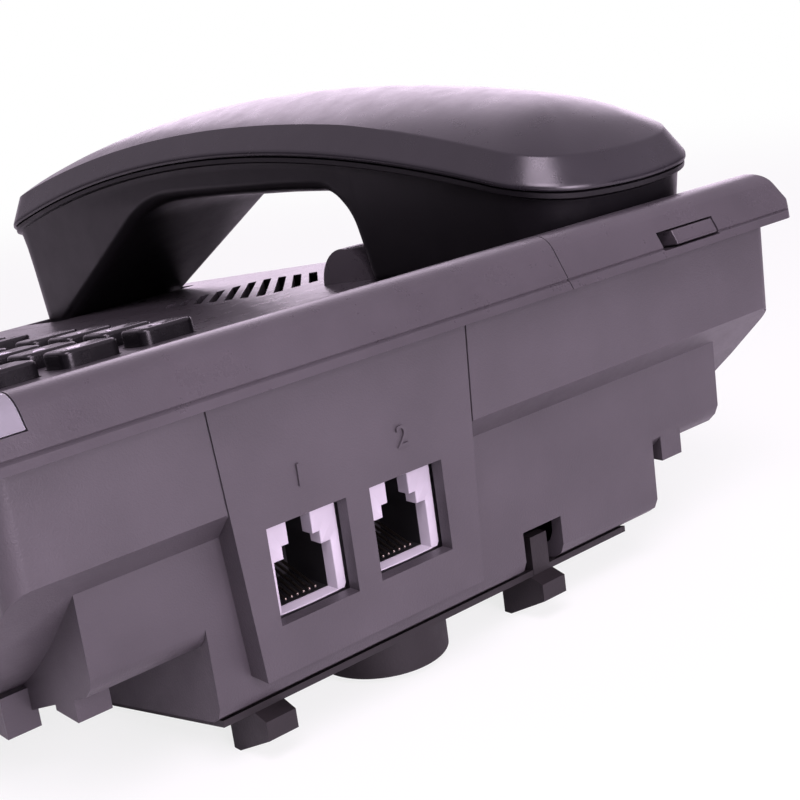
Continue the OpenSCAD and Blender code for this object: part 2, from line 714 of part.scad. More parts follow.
// A pan-head screw: head radius, shank radius, length
module pan_screw(s) {
  cylinder(r = s[0], h = pan_h);
  translate([0, 0, -s[2]]) cylinder(r = s[1], h = s[2] + eps);
}
module board_screws() color(steel) {
  for (x = mainboard_holes_x, y = mainboard_holes_y) translate([x, y, mainboard_top + seat_gap])
    pan_screw(board_screw);
  deck() for (p = keyposts) translate([p[0], p[1], keyboard_top - board_thick - seat_gap])
    rotate([180, 0, 0]) pan_screw(key_screw);
}
module housing_screws() color(steel) for (x = [-screw_x, screw_x], y = screw_y)
  translate([x, y, bottom_z + screw_head_h + screw_gap]) rotate([180, 0, 0])
    pan_screw([screw_head_r, screw_r, standoff_z + screw_grip - bottom_z]);

module loudspeaker() color(dark) deck() translate([grille_at[0], grille_at[1], speaker_seat - seat_gap])
  rotate_extrude() polygon([[0, -speaker_magnet[2]], [speaker_magnet[0], -speaker_magnet[2]],
    [speaker_magnet[0], -speaker_magnet[1]], [speaker_r, -speaker_rim[1]], [speaker_r, 0],
    [speaker_r - speaker_rim[0], 0], [speaker_cone[0], -speaker_cone[1]], [0, -speaker_cone[1]]]);
module hook_switch() color(dark) deck() translate([hs_x, hook_y, hook_foot - hook_gap - seat_gap])
  box([-hook_post_x - post_r, -switch_hd, -switch_h], [hook_post_x + post_r, switch_hd, 0]);
module hook_plunger() color(dark) deck() translate([hs_x, hook_y, hook_foot]) {
  linear_extrude(well_floor - hook_foot - seat_gap) square(hook_size, center = true);
  linear_extrude(hook_wing_t) square(hook_size + [hook_wing, 0], center = true);
}

// Adaptor plate clipped under the lower tier, with two feet, a round boss and a clip in the notch
module stand_adaptor() color(dark) {
  half = adaptor_t / 2;
  along_x(adaptor_x[0], adaptor_x[1]) polygon([
    [adaptor_y[0], plate_mid(adaptor_y[0]) + half], [adaptor_y[1], plate_mid(adaptor_y[1]) + half],
    [adaptor_y[1], plate_mid(adaptor_y[1]) - half], [adaptor_y[0], plate_mid(adaptor_y[0]) - half]]);
  for (x = foot_x) along_x(x - foot_w / 2, x + foot_w / 2) polygon([
    [foot_y[0], 0], [foot_y[0] + foot_land, 0], [foot_y[1], foot_rise],
    [foot_y[1], plate_mid(adaptor_y[1]) - foot_tip], [adaptor_y[1] - 1, plate_mid(adaptor_y[1] - 1)],
    [foot_y[0], plate_mid(foot_y[0])]]);
  difference() {
    intersection() {
      translate([boss_at[0], boss_at[1], boss_z]) cylinder(r = boss_r, h = tier3_z);
      along_x(-big, big) polygon([[adaptor_y[0], 0], [adaptor_y[1], 0],
        [adaptor_y[1], plate_mid(adaptor_y[1])], [adaptor_y[0], plate_mid(adaptor_y[0])]]);
    }
    translate([boss_at[0], boss_at[1], 0]) cylinder(r = boss_bore[0], h = boss_bore[1]);
  }
  clip_y = tier_y - wall - 1;
  box([foot_x[1] - clip_hw, clip_y, plate_mid(clip_y)], [foot_x[1] + clip_hw, clip_y + clip_t, notch_z - 2]);
}
module front_feet() color(rubber_black) for (s = [-1, 1]) translate([s * pad_at[0], pad_at[1], 0])
  cylinder(r = pad_r, h = bottom_z + pad_sink - seat_gap);

// A key: dished cap, retaining flange under the deck
module key(k) color(dark) deck() translate([k[1][0], k[1][1], 0]) {
  difference() {
    translate([0, 0, flange_top - eps]) linear_extrude(key_rise - flange_top)
      round_rect(k[2][0], k[2][1], cap_r);
    translate([0, 0, key_rise + cap_dish[1] - cap_dish[0]]) sphere(r = cap_dish[1]);
  }
  translate([0, 0, flange_bottom]) linear_extrude(cap_flange)
    round_rect(k[2][0] + 2 * flange_lip, k[2][1] + 2 * flange_lip, cap_r + key_gap);
}

// Handset outline in plan: straight sides, round corners and wide arcs across the ends
module hs_outline(grow) intersection() {
  translate([0, hs_mid]) round_rect(hs_w + 2 * grow, hs_len + 2 * grow, hs_corner_r + grow);
  union() {
    translate([0, hs_rear - hs_end_r]) circle(hs_end_r + grow);
    translate([-big, hs_rear - hs_end_r - big]) square([2 * big, big]);
  }
  union() {
    translate([0, hs_front + hs_end_r]) circle(hs_end_r + grow);
    translate([-big, hs_front + hs_end_r]) square([2 * big, big]);
  }
}
module hs_plan(grow) translate([0, 0, -big / 2]) linear_extrude(big) hs_outline(grow);
// Cone that leans the band in round one end, with open space beyond its axis
module end_lean(y, s) {
  z0 = hs_seam_z + hs_edge - pow(y, 2) / (2 * hs_seam_r);
  mid = y - s * hs_end_r;
  translate([0, mid, z0 - hs_band])
    cylinder(r1 = hs_end_r + hs_band_lean, r2 = hs_end_r - 7 * hs_band_lean, h = 8 * hs_band);
  box([-big, s > 0 ? -big : mid, -big], [big, s > 0 ? mid : big, big]);
}
// Crown from the side: the long arch, falling away over the last stretch at both ends
module crown_side() {
  steps = 8;
  fall = [for (i = [0:steps]) hs_end_lift - (hs_crown + hs_end_lift) * pow(i / steps, 2)];
  run = [for (i = [0:steps]) hs_end_run * (1 - i / steps)];
  rear = [for (i = [0:steps]) [hs_rear - run[i], crown_z(hs_rear - run[i]) + fall[i]]];
  fore = [for (i = [steps:-1:0]) [hs_front + run[i], crown_z(hs_front + run[i]) + fall[i]]];
  polygon(concat([[hs_front, -big]], fore, [[hs_front + hs_end_run, big], [hs_rear - hs_end_run, big]],
    rear, [[hs_rear, -big]]));
}
module arch() translate([0, 0, hs_top - hs_arch_r]) rotate([0, 90, 0]) rotate_extrude($fn = 360) children();
module below_seam(gap) translate([-big / 2, 0, hs_seam_z - hs_seam_r]) rotate([0, 90, 0])
  cylinder(r = hs_seam_r - gap, h = big, $fn = 360);

module handset_top() color(black) handset_frame() difference() {
  crown_r = (pow(hs_crease_hw, 2) + pow(hs_crown, 2)) / (2 * hs_crown);
  crown_a = asin(hs_crease_hw / crown_r);
  deep = 5 * hs_band;
  deep_hw = hs_crease_hw + (deep - hs_crown) * hs_band_lean / hs_band;
  roof = hs_crown + 1;
  union() {
    difference() {
      intersection() {
        arch() polygon(concat([[hs_arch_r - deep, -deep_hw]],
          arc([hs_arch_r - crown_r, 0], crown_r, -crown_a, crown_a, 10), [[hs_arch_r - deep, deep_hw]]));
        hs_plan(0);
        along_x(-hs_w, hs_w) crown_side();
        end_lean(hs_rear, 1);
        end_lean(hs_front, -1);
      }
      below_seam(0);
      intersection() {
        arch() translate([hs_arch_r - deep, 1 - hs_crease_hw]) square([deep - roof, 2 * hs_crease_hw - 2]);
        hs_plan(-hs_wall - hs_band_lean);
      }
    }
    for (y = hs_screw_y) translate([0, y, hs_bar_z + hs_wall + seat_gap])
      cylinder(r = hs_post_r, h = hs_grip - hs_wall - hs_crown);
  }
  for (y = hs_screw_y) translate([0, y, 0])
    cylinder(r = shell_screw[1] + seat_gap, h = hs_bar_z + hs_wall + shell_screw[2]);
}

// Lower shell from the side: end wall, ear cup, grip arch, mouth slope, mouth cup, end wall
module hs_side(t) {
  rear = hs_rear - hs_step - t;
  fore = hs_front + hs_step + t;
  low = -hs_reach;
  slope_end = mouth_arch_y - (mouth_arch_r + t) * sin(mouth_slope);
  slope_end_z = hs_bar_z - mouth_arch_r + (mouth_arch_r + t) * cos(mouth_slope);
  foot_in = mouth_foot - t;
  polygon(concat(
    [[rear, hs_reach], [rear, ear_rake[0]], [rear - ear_rake[2], ear_rake[1]], [rear - ear_rake[2], low],
     [ear_foot + t, low], [ear_foot + t, ear_wall_z]],
    arc([ear_arch_y, hs_bar_z - ear_arch_r], ear_arch_r + t, ear_arch_a, 90, 6),
    arc([mouth_arch_y, hs_bar_z - mouth_arch_r], mouth_arch_r + t, 90, 90 + mouth_slope, 6),
    [[foot_in, slope_end_z - (slope_end - foot_in) * tan(mouth_slope)], [foot_in, low],
     [fore + mouth_rake[2], low], [fore + mouth_rake[2], mouth_rake[1]], [fore, mouth_rake[0]],
     [fore, hs_reach]]));
}
// Lower shell across: upright by the seam, drawn in by the draft below the grip
module hs_cross(t) {
  half = hs_low_hw - t;
  foot = half - (hs_bar_z + hs_reach) * tan(hs_draft);
  polygon([[-half, hs_reach], [-half, hs_bar_z], [-foot, -hs_reach], [foot, -hs_reach], [half, hs_bar_z],
    [half, hs_reach]]);
}
module lower_form(t) intersection() {
  along_x(-hs_w, hs_w) hs_side(t);
  along_y(-big, big) hs_cross(t);
  hs_plan(-hs_step - t);
}
module handset_bottom() color(black) difference() {
  handset_frame() difference() {
    union() {
      intersection() {
        lower_form(0);
        below_seam(seat_gap);
      }
      intersection() {
        difference() {
          below_seam(seat_gap);
          below_seam(seat_gap + hs_rim);
        }
        hs_plan(-seat_gap);
      }
    }
    intersection() {
      lower_form(hs_wall);
      cup_room();
    }
    translate([0, hs_front, hs_jack_z]) along_y(-1, hs_step + mouth_rake[2] + hs_wall + 1)
      square(cord_window, center = true);
  }
  deck() box([-big, -big, -big], [big, big, cup_bottom]);
  deck() for (a = [0:60:300]) translate([hs_x, ear_mid, cup_bottom - 1]) rotate(a)
    translate([ear_hole_ring, 0, 0]) cylinder(r = ear_hole_r, h = hs_wall + 2);
  deck() translate([hs_x, mouth_mid, cup_bottom - 1]) cylinder(r = mouth_hole_r, h = hs_wall + 2);
  handset_frame() for (y = hs_screw_y) translate([0, y, hs_bar_z - 1]) {
    cylinder(r = shell_screw[1] + seat_gap, h = hs_wall + 2);
    cylinder(r = shell_seat[0], h = shell_seat[1] + 1);
  }
}
// Inner room of the lower shell, above the cups' floors
module cup_room() rotate([-hs_lean, 0, 0]) translate([0, 0, cup_bottom - hs_z + hs_wall])
  box([-big, -big, 0], [big, big, big]);

// Places inside the handset
module on_cup_floor(y) deck() translate([hs_x, y, cup_bottom + hs_wall + seat_gap]) children();
module in_handset_end() translate([0, hs_front + hs_step + mouth_rake[2] + hs_wall + seat_gap, hs_jack_z])
  rotate([0, 0, 180]) children();
module receiver() color(dark) on_cup_floor(ear_mid) {
  cylinder(r = receiver_rim[0], h = receiver_rim[1]);
  cylinder(r = receiver_magnet[0], h = receiver_magnet[1]);
}
module microphone() color(steel) on_cup_floor(mouth_mid) cylinder(r = mic_size[0], h = mic_size[1]);
module handset_weight() color(steel) handset_frame() {
  floor_z = hs_bar_z + hs_wall + seat_gap;
  box([-weight_hw, hs_screw_y[1] + weight_gap, floor_z],
    [weight_hw, hs_screw_y[0] - weight_gap, floor_z + weight_t]);
}
module handset_jack() color(dark) handset_frame() in_handset_end() cord_socket();
module handset_contacts() color(gold) handset_frame() in_handset_end() cord_wires();
module handset_screws() color(steel) handset_frame() for (y = hs_screw_y)
  translate([0, y, hs_bar_z + shell_seat[1] - seat_gap]) rotate([180, 0, 0]) pan_screw(shell_screw);

lower_housing();
keypad_cover();
cradle_cover();
lamp_lens();
stand_adaptor();
front_feet();
line_jack(0);  // line_jack_1
line_jack(1);  // line_jack_2
line_contacts(0);  // line_contacts_1
line_contacts(1);  // line_contacts_2
cord_jack();
cord_contacts();
main_board();
key_board();
key_mat();
loudspeaker();
hook_switch();
hook_plunger();
ringer_slider();
housing_screws();
board_screws();
for (k = KEYS) key(k);
handset_top();
handset_bottom();
receiver();
microphone();
handset_weight();
handset_jack();
handset_contacts();
handset_screws();
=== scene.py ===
"""Dresses the corded desk telephone: moulded shells, key caps, numbers, plastics, metals and the studio."""

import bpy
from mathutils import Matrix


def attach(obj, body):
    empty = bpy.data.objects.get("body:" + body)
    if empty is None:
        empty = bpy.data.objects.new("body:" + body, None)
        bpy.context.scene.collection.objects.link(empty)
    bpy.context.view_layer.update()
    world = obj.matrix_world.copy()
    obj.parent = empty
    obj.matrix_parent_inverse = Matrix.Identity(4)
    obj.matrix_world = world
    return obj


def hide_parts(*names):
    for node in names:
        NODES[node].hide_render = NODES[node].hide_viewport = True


bl_info = {
    "name": "Corded Desk Telephone",
    "version": (1, 0, 0),
    "blender": (4, 5, 0),
    "location": "View3D > Sidebar > Telephone",
    "description": "Builds the visible shells, keys, markings, finishes and studio of a corded desk telephone",
    "category": "Object",
}

import bmesh
import bpy
import numpy as np
from mathutils import Matrix

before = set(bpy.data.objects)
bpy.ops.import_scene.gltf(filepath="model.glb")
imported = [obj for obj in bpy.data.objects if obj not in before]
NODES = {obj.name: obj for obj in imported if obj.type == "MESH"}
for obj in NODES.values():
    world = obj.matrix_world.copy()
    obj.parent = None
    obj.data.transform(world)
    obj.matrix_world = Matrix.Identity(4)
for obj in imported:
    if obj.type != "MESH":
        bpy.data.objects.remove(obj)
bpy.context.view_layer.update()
MM = 0.001

# Frames of the source, in millimetres and degrees: the deck slopes up to the rear, the handset leans on it
DECK_HEIGHT, DECK_TILT = 42.5, 8.0
HANDSET_PLACE, HANDSET_LEAN = (-47.2, 3.9, 17.1), -5.0


def linear(code):
    """An sRGB hex colour as linear red, green, blue."""
    srgb = np.array([int(code[i : i + 2], 16) for i in (1, 3, 5)]) / 255.0
    return tuple(np.where(srgb <= 0.04045, srgb / 12.92, ((srgb + 0.055) / 1.055) ** 2.4).tolist())


def tilted(points, degrees, place):
    """Points turned about X by an angle and then moved: one frame carried into the next."""
    turn = np.radians(degrees)
    x, y, z = points[..., 0], points[..., 1], points[..., 2]
    turned = [x, y * np.cos(turn) - z * np.sin(turn), y * np.sin(turn) + z * np.cos(turn)]
    return np.stack(turned, axis=-1) + np.array(place)


def from_deck(points):
    """Deck frame to row frame, in millimetres."""
    return tilted(points, DECK_TILT, (0.0, 0.0, DECK_HEIGHT))


def from_handset(points):
    """Handset frame to row frame, in millimetres."""
    return from_deck(tilted(points, HANDSET_LEAN, HANDSET_PLACE))


# Sizes and colours that a user would change


class HandsetForm(bpy.types.PropertyGroup):
    """Sizes of the handset's shells"""

    width: bpy.props.FloatProperty(
        name="Width", description="Width at the seam", default=0.0414, unit="LENGTH"
    )
    end_bow: bpy.props.FloatProperty(
        name="End bow", description="Plan radius of the bowed ends", default=0.043, unit="LENGTH"
    )
    corner: bpy.props.FloatProperty(
        name="Corner radius", description="Plan radius of the ends' corners", default=0.013, unit="LENGTH"
    )
    lean: bpy.props.FloatProperty(
        name="Band lean", description="How far the crease stands in from the seam", default=0.003, unit="LENGTH"
    )
    crown: bpy.props.FloatProperty(
        name="Crown rise", description="Rise of the crown above the crease", default=0.0042, unit="LENGTH"
    )
    roll: bpy.props.FloatProperty(
        name="Grip roll", description="Round of the grip's lower edges, across", default=0.006, unit="LENGTH"
    )


class KeyForm(bpy.types.PropertyGroup):
    """Sizes of the key caps"""

    rise: bpy.props.FloatProperty(
        name="Rise", description="Height of a cap above the deck", default=0.0028, unit="LENGTH"
    )
    dish: bpy.props.FloatProperty(
        name="Dish", description="Depth of the finger dish", default=0.0005, unit="LENGTH"
    )
    edge: bpy.props.FloatProperty(
        name="Edge radius", description="Round of a cap's top edge", default=0.0007, unit="LENGTH"
    )
    digit: bpy.props.FloatProperty(
        name="Digit height", description="Height of the printed digits", default=0.0044, unit="LENGTH"
    )


class Finishes(bpy.types.PropertyGroup):
    """Colours of the plastics, the contacts and the digits"""

    shell: bpy.props.FloatVectorProperty(
        name="Shell", description="Charcoal ABS of the housing", subtype="COLOR", default=linear("#363336")
    )
    handset: bpy.props.FloatVectorProperty(
        name="Handset", description="Black ABS of the handset", subtype="COLOR", default=linear("#151317")
    )
    key: bpy.props.FloatVectorProperty(
        name="Keys", description="Black ABS of the keys", subtype="COLOR", default=linear("#0c0b0d")
    )
    adaptor: bpy.props.FloatVectorProperty(
        name="Adaptor", description="Brown-black ABS of the adaptor", subtype="COLOR", default=linear("#151213")
    )
    socket: bpy.props.FloatVectorProperty(
        name="Sockets", description="Pale grey polycarbonate", subtype="COLOR", default=linear("#a3a0a6")
    )
    # Painted shade: the contacts are gold darkened to a dull grey-brown, as the wire shows deep in the sockets
    contact: bpy.props.FloatVectorProperty(
        name="Contacts", description="Dulled gold-plated wire", subtype="COLOR", default=linear("#7d756c")
    )
    digit: bpy.props.FloatVectorProperty(
        name="Digits", description="Pale printed digits", subtype="COLOR", default=linear("#cfccd2")
    )


GROUPS = {"handset_form": HandsetForm, "key_form": KeyForm, "finishes": Finishes}


def form(name):
    """One of the scene's groups of sizes or colours."""
    return getattr(bpy.context.scene, name)


def mm(value):
    """A stored length in millimetres."""
    return value / MM


# Meshes

# Edges sharper than this stay sharp, in radians; points nearer than this are joined, in metres
SHARP, JOINED = np.radians(30), 1e-6
# Edges sharper than the first angle are rolled in so many steps; faces flatter than the second are merged
ROLL_ANGLE, ROLL_STEPS, FLAT_ANGLE = np.radians(28.0), 3, np.radians(1.2)
# Points of a rounded loop on each corner and each straight run, and points on each arc of a rounded path
LOOP_CORNER, LOOP_RUN, PATH_ARC = 8, 4, 14
TUBE_CUTS = 24


def in_scene(name, data):
    """A new object in the scene, at the origin."""
    made = bpy.data.objects.new(name, data)
    bpy.context.scene.collection.objects.link(made)
    return made


def shown_mesh(piece):
    """A new mesh of a piece as it shows, with its modifiers applied."""
    bpy.context.view_layer.update()
    return bpy.data.meshes.new_from_object(piece.evaluated_get(bpy.context.evaluated_depsgraph_get()))


def mesh_object(name, points, faces, body, material, smooth=True):
    """One piece at the origin: points in millimetres in the row frame, faces as rows of indices."""
    mesh = bpy.data.meshes.new(name)
    mesh.from_pydata((points * MM).tolist(), [], faces)
    mesh.polygons.foreach_set("use_smooth", np.full(len(mesh.polygons), smooth))
    mesh.set_sharp_from_angle(angle=SHARP)
    mesh.update()
    piece = in_scene(name, mesh)
    mesh.materials.append(MATERIALS[material])
    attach(piece, body)
    return piece


def ring_quads(count, around):
    """Quads between closed rings that lie one after another, each with the same number of points."""
    ring, step = np.meshgrid(np.arange(count - 1), np.arange(around), indexing="ij")
    low, high, after = ring * around, (ring + 1) * around, (step + 1) % around
    return np.stack([low + step, low + after, high + after, high + step], axis=-1).reshape(-1, 4)


def capped(count, around):
    """Quads between closed rings, with one flat lid on the first and on the last ring."""
    first = np.arange(around)[::-1]
    last = (count - 1) * around + np.arange(around)
    return [*ring_quads(count, around).tolist(), first.tolist(), last.tolist()]


def woven(rings):
    """A closed surface through closed rings that lie one after another.
    Points that coincide are joined, faces that close up are dropped, and the whole is turned outward."""
    flat = rings.reshape(-1, 3)
    _, first, index = np.unique(np.round(flat, 5), axis=0, return_index=True, return_inverse=True)
    points = flat[first]
    quads = index.reshape(-1)[ring_quads(*rings.shape[:2])]
    kept = quads != np.roll(quads, -1, axis=1)
    whole, part = quads[kept.sum(axis=1) == 4], kept.sum(axis=1) == 3
    corners = quads[part][kept[part]].reshape(-1, 3)
    triangles = np.concatenate([whole[:, [0, 1, 2]], whole[:, [0, 2, 3]], corners])
    a, b, c = points[triangles].transpose(1, 0, 2)
    turn = 1 if np.sum(a * np.cross(b, c)) > 0 else -1
    return points, [*whole[:, ::turn].tolist(), *corners[:, ::turn].tolist()]


def rounded_loop(half_w, half_l, radius):
    """A rounded rectangle as one closed loop: four quarter arcs joined by evenly cut straight runs."""
    arcs = []
    for quarter, (sx, sy) in enumerate(((1, 1), (-1, 1), (-1, -1), (1, -1))):
        angle = np.radians(90 * quarter + np.linspace(0, 90, LOOP_CORNER))
        centre = np.array([sx * (half_w - radius), sy * (half_l - radius)])
        arcs.append(centre + radius * np.stack([np.cos(angle), np.sin(angle)], axis=-1))
    share = np.linspace(0, 1, LOOP_RUN + 2)[1:-1, None]
    loop = []
    for arc, following in zip(arcs, (*arcs[1:], arcs[0])):
        loop += [arc, arc[-1] + (following[0] - arc[-1]) * share]
    return np.concatenate(loop)


def rounded_path(corners, radii):
    """A polyline whose inner corners are replaced by arcs of the given radii."""
    corners = np.array(corners, float)
    share = np.linspace(0, 1, PATH_ARC)[:, None]
    path = [corners[:1]]
    for before, here, after, radius in zip(corners[:-2], corners[1:-1], corners[2:], radii):
        a, b = before - here, after - here
        a, b = a / np.linalg.norm(a), b / np.linalg.norm(b)
        half = np.arccos(np.clip(a @ b, -1, 1)) / 2
        centre = here + (a + b) / np.linalg.norm(a + b) * radius / np.sin(half)
        reach, swing = radius / np.tan(half), np.pi - 2 * half
        start, stop = here + a * reach - centre, here + b * reach - centre
        arc = np.sin((1 - share) * swing) * start + np.sin(share * swing) * stop
        path.append(centre + arc / np.sin(swing))
    return np.concatenate([*path, corners[-1:]])


def tube(middle, low, high, radius):
    """A closed cylinder along Z between two heights, as rings from one lid's middle to the other's."""
    angle = np.linspace(0, 2 * np.pi, TUBE_CUTS, endpoint=False)
    circle = np.column_stack([np.cos(angle), np.sin(angle)])
    rings = [(0.0, low), (radius, low), (radius, high), (0.0, high)]
    return np.stack([np.column_stack([middle + r * circle, np.full(TUBE_CUTS, z)]) for r, z in rings])


def block(low, high):
    """A closed box, as rings along Y from one lid's middle to the other's."""
    low, high = np.array(low), np.array(high)
    corner = np.array([[-1, -1], [1, -1], [1, 1], [-1, 1]]) / 2
    span, middle = (high - low)[[0, 2]], (high + low)[[0, 2]] / 2
    rings = []
    for share, y in ((0, low[1]), (1, low[1]), (1, high[1]), (0, high[1])):
        ring = middle + share * span * corner
        rings.append(np.column_stack([ring[:, 0], np.full(len(ring), y), ring[:, 1]]))
    return np.stack(rings)


def opened(piece, tools):
    """Cuts closed tools out of a piece and keeps the result."""
    points, faces = [], []
    for tool_points, tool_faces in tools:
        faces += [[i + len(points) for i in face] for face in tool_faces]
        points += (tool_points * MM).tolist()
    mesh = bpy.data.meshes.new("openings")
    mesh.from_pydata(points, [], faces)
    carrier = in_scene("openings", mesh)
    cut = piece.modifiers.new("Openings", "BOOLEAN")
    cut.operation, cut.solver, cut.object = "DIFFERENCE", "EXACT", carrier
    cut.use_self = True
    shown = shown_mesh(piece)
    piece.modifiers.clear()
    piece.data = shown
    shown.set_sharp_from_angle(angle=SHARP)
    bpy.data.objects.remove(carrier)


def softened(piece, width, merged=True):
    """Rounds a piece's edges: loose triangles are joined, flat faces merged where asked, sharp edges rolled.
    Normals are weighted by area, so that flats stay flat up to the rolled edge."""
    piece.data.polygons.foreach_set("use_smooth", np.ones(len(piece.data.polygons), bool))
    weld = piece.modifiers.new("Join", "WELD")
    weld.merge_threshold = JOINED
    if merged:
        flat = piece.modifiers.new("Merge flats", "DECIMATE")
        flat.decimate_type, flat.angle_limit = "DISSOLVE", FLAT_ANGLE
    roll = piece.modifiers.new("Roll edges", "BEVEL")
    roll.width, roll.segments = width * MM, ROLL_STEPS
    roll.limit_method, roll.angle_limit = "ANGLE", ROLL_ANGLE
    even = piece.modifiers.new("Keep flats", "WEIGHTED_NORMAL")
    even.mode, even.keep_sharp = "FACE_AREA", True


# Materials

MATERIALS = {}
# Millimetres across of the clouds in a plastic's colour and of the smears in its gloss
CLOUD, SMEAR = 14.0, 5.0
# How far the gloss of a plastic and of a metal varies about its roughness
PLASTIC_SPREAD, METAL_SPREAD = 0.05, 0.08
DEEP_SHARE, PALE_SHARE, PALE_LIFT = 0.75, 1.35, 0.002
# Millimetres across and deep of the frosted ripple in the lens
RIPPLE, RIPPLE_DEPTH = 1.6, 0.15


def node(tree, kind, inputs=None, **settings):
    """Adds one node, sets its settings, and sets or links its inputs."""
    made = tree.nodes.new(kind)
    for key, value in settings.items():
        setattr(made, key, value)
    for key, value in (inputs or {}).items():
        if isinstance(value, bpy.types.NodeSocket):
            tree.links.new(value, made.inputs[key])
        else:
            made.inputs[key].default_value = value
    return made


def per_mm(size):
    """Texture scale, in features per metre, of a pattern whose features are this many millimetres across."""
    return 1.0 / (size * MM)


def new_material(name):
    """A material with an empty node tree."""
    material = bpy.data.materials.new(name)
    material.use_nodes = True
    material.node_tree.nodes.clear()
    return material, material.node_tree


def moulded_plastic(name, colour, roughness, grain, depth, ior):
    """Injection-moulded plastic: a bumped grain from the tool, as wide and deep as given in millimetres,
    faint clouds in the colour, and handling marks in the gloss."""
    material, tree = new_material(name)
    place = node(tree, "ShaderNodeTexCoord").outputs["Object"]
    noises = []
    for size, detail, breakup in ((grain, 3.0, 0.6), (CLOUD, 4.0, 0.5), (SMEAR, 6.0, 0.7)):
        inputs = {"Vector": place, "Scale": per_mm(size), "Detail": detail, "Roughness": breakup}
        noises.append(node(tree, "ShaderNodeTexNoise", inputs).outputs[0])
    pits, cloud, smear = noises
    deep = tuple(c * DEEP_SHARE for c in colour)
    pale = tuple(min(1.0, c * PALE_SHARE + PALE_LIFT) for c in colour)
    tone = node(tree, "ShaderNodeMix", {0: cloud, 6: (*deep, 1.0), 7: (*pale, 1.0)}, data_type="RGBA")
    smooth, rough = roughness - PLASTIC_SPREAD, roughness + PLASTIC_SPREAD
    inputs = {"Value": smear, "From Min": 0.3, "From Max": 0.7, "To Min": smooth, "To Max": rough}
    gloss = node(tree, "ShaderNodeMapRange", inputs)
    bump = node(tree, "ShaderNodeBump", {"Height": pits, "Strength": 1.0, "Distance": depth * MM})
    skin = node(
        tree,
        "ShaderNodeBsdfPrincipled",
        {
            "Base Color": tone.outputs[2],
            "Roughness": gloss.outputs[0],
            "IOR": ior,
            "Normal": bump.outputs[0],
        },
    )
    node(tree, "ShaderNodeOutputMaterial", {"Surface": skin.outputs[0]})
    return material


def plated_metal(name, colour, roughness, streak):
    """Drawn or turned metal: metallic, with fine streaks, in millimetres across, that vary the gloss."""
    material, tree = new_material(name)
    place = node(tree, "ShaderNodeTexCoord").outputs["Object"]
    line = node(tree, "ShaderNodeTexNoise", {"Vector": place, "Scale": per_mm(streak), "Detail": 3.0})
    smooth, rough = roughness - METAL_SPREAD, roughness + METAL_SPREAD
    gloss = node(tree, "ShaderNodeMapRange", {"Value": line.outputs[0], "To Min": smooth, "To Max": rough})
    bump = node(tree, "ShaderNodeBump", {"Height": line.outputs[0], "Strength": 0.2, "Distance": 0.01 * MM})
    skin = node(
        tree,
        "ShaderNodeBsdfPrincipled",
        {
            "Base Color": (*colour, 1.0),
            "Metallic": 1.0,
            "Roughness": gloss.outputs[0],
            "Normal": bump.outputs[0],
        },
    )
    node(tree, "ShaderNodeOutputMaterial", {"Surface": skin.outputs[0]})
    return material


def clear_plastic(name, colour):
    """Clear moulded polycarbonate, prismed inside: half transmissive, with a frosted ripple."""
    material, tree = new_material(name)
    place = node(tree, "ShaderNodeTexCoord").outputs["Object"]
    ripple = node(tree, "ShaderNodeTexNoise", {"Vector": place, "Scale": per_mm(RIPPLE), "Detail": 2.0})
    inputs = {"Height": ripple.outputs[0], "Strength": 0.5, "Distance": RIPPLE_DEPTH * MM}
    bump = node(tree, "ShaderNodeBump", inputs)
    skin = node(
        tree,
        "ShaderNodeBsdfPrincipled",
        {
            "Base Color": (*colour, 1.0),
            "Roughness": 0.12,
            "IOR": 1.58,
            "Transmission Weight": 0.55,
            "Normal": bump.outputs[0],
        },
    )
    node(tree, "ShaderNodeOutputMaterial", {"Surface": skin.outputs[0]})
    return material


def dress(material, *nodes):
    """Gives carried-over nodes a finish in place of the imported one."""
    for name in nodes:
        slots = NODES[name].data.materials
        slots.clear()
        slots.append(MATERIALS[material])


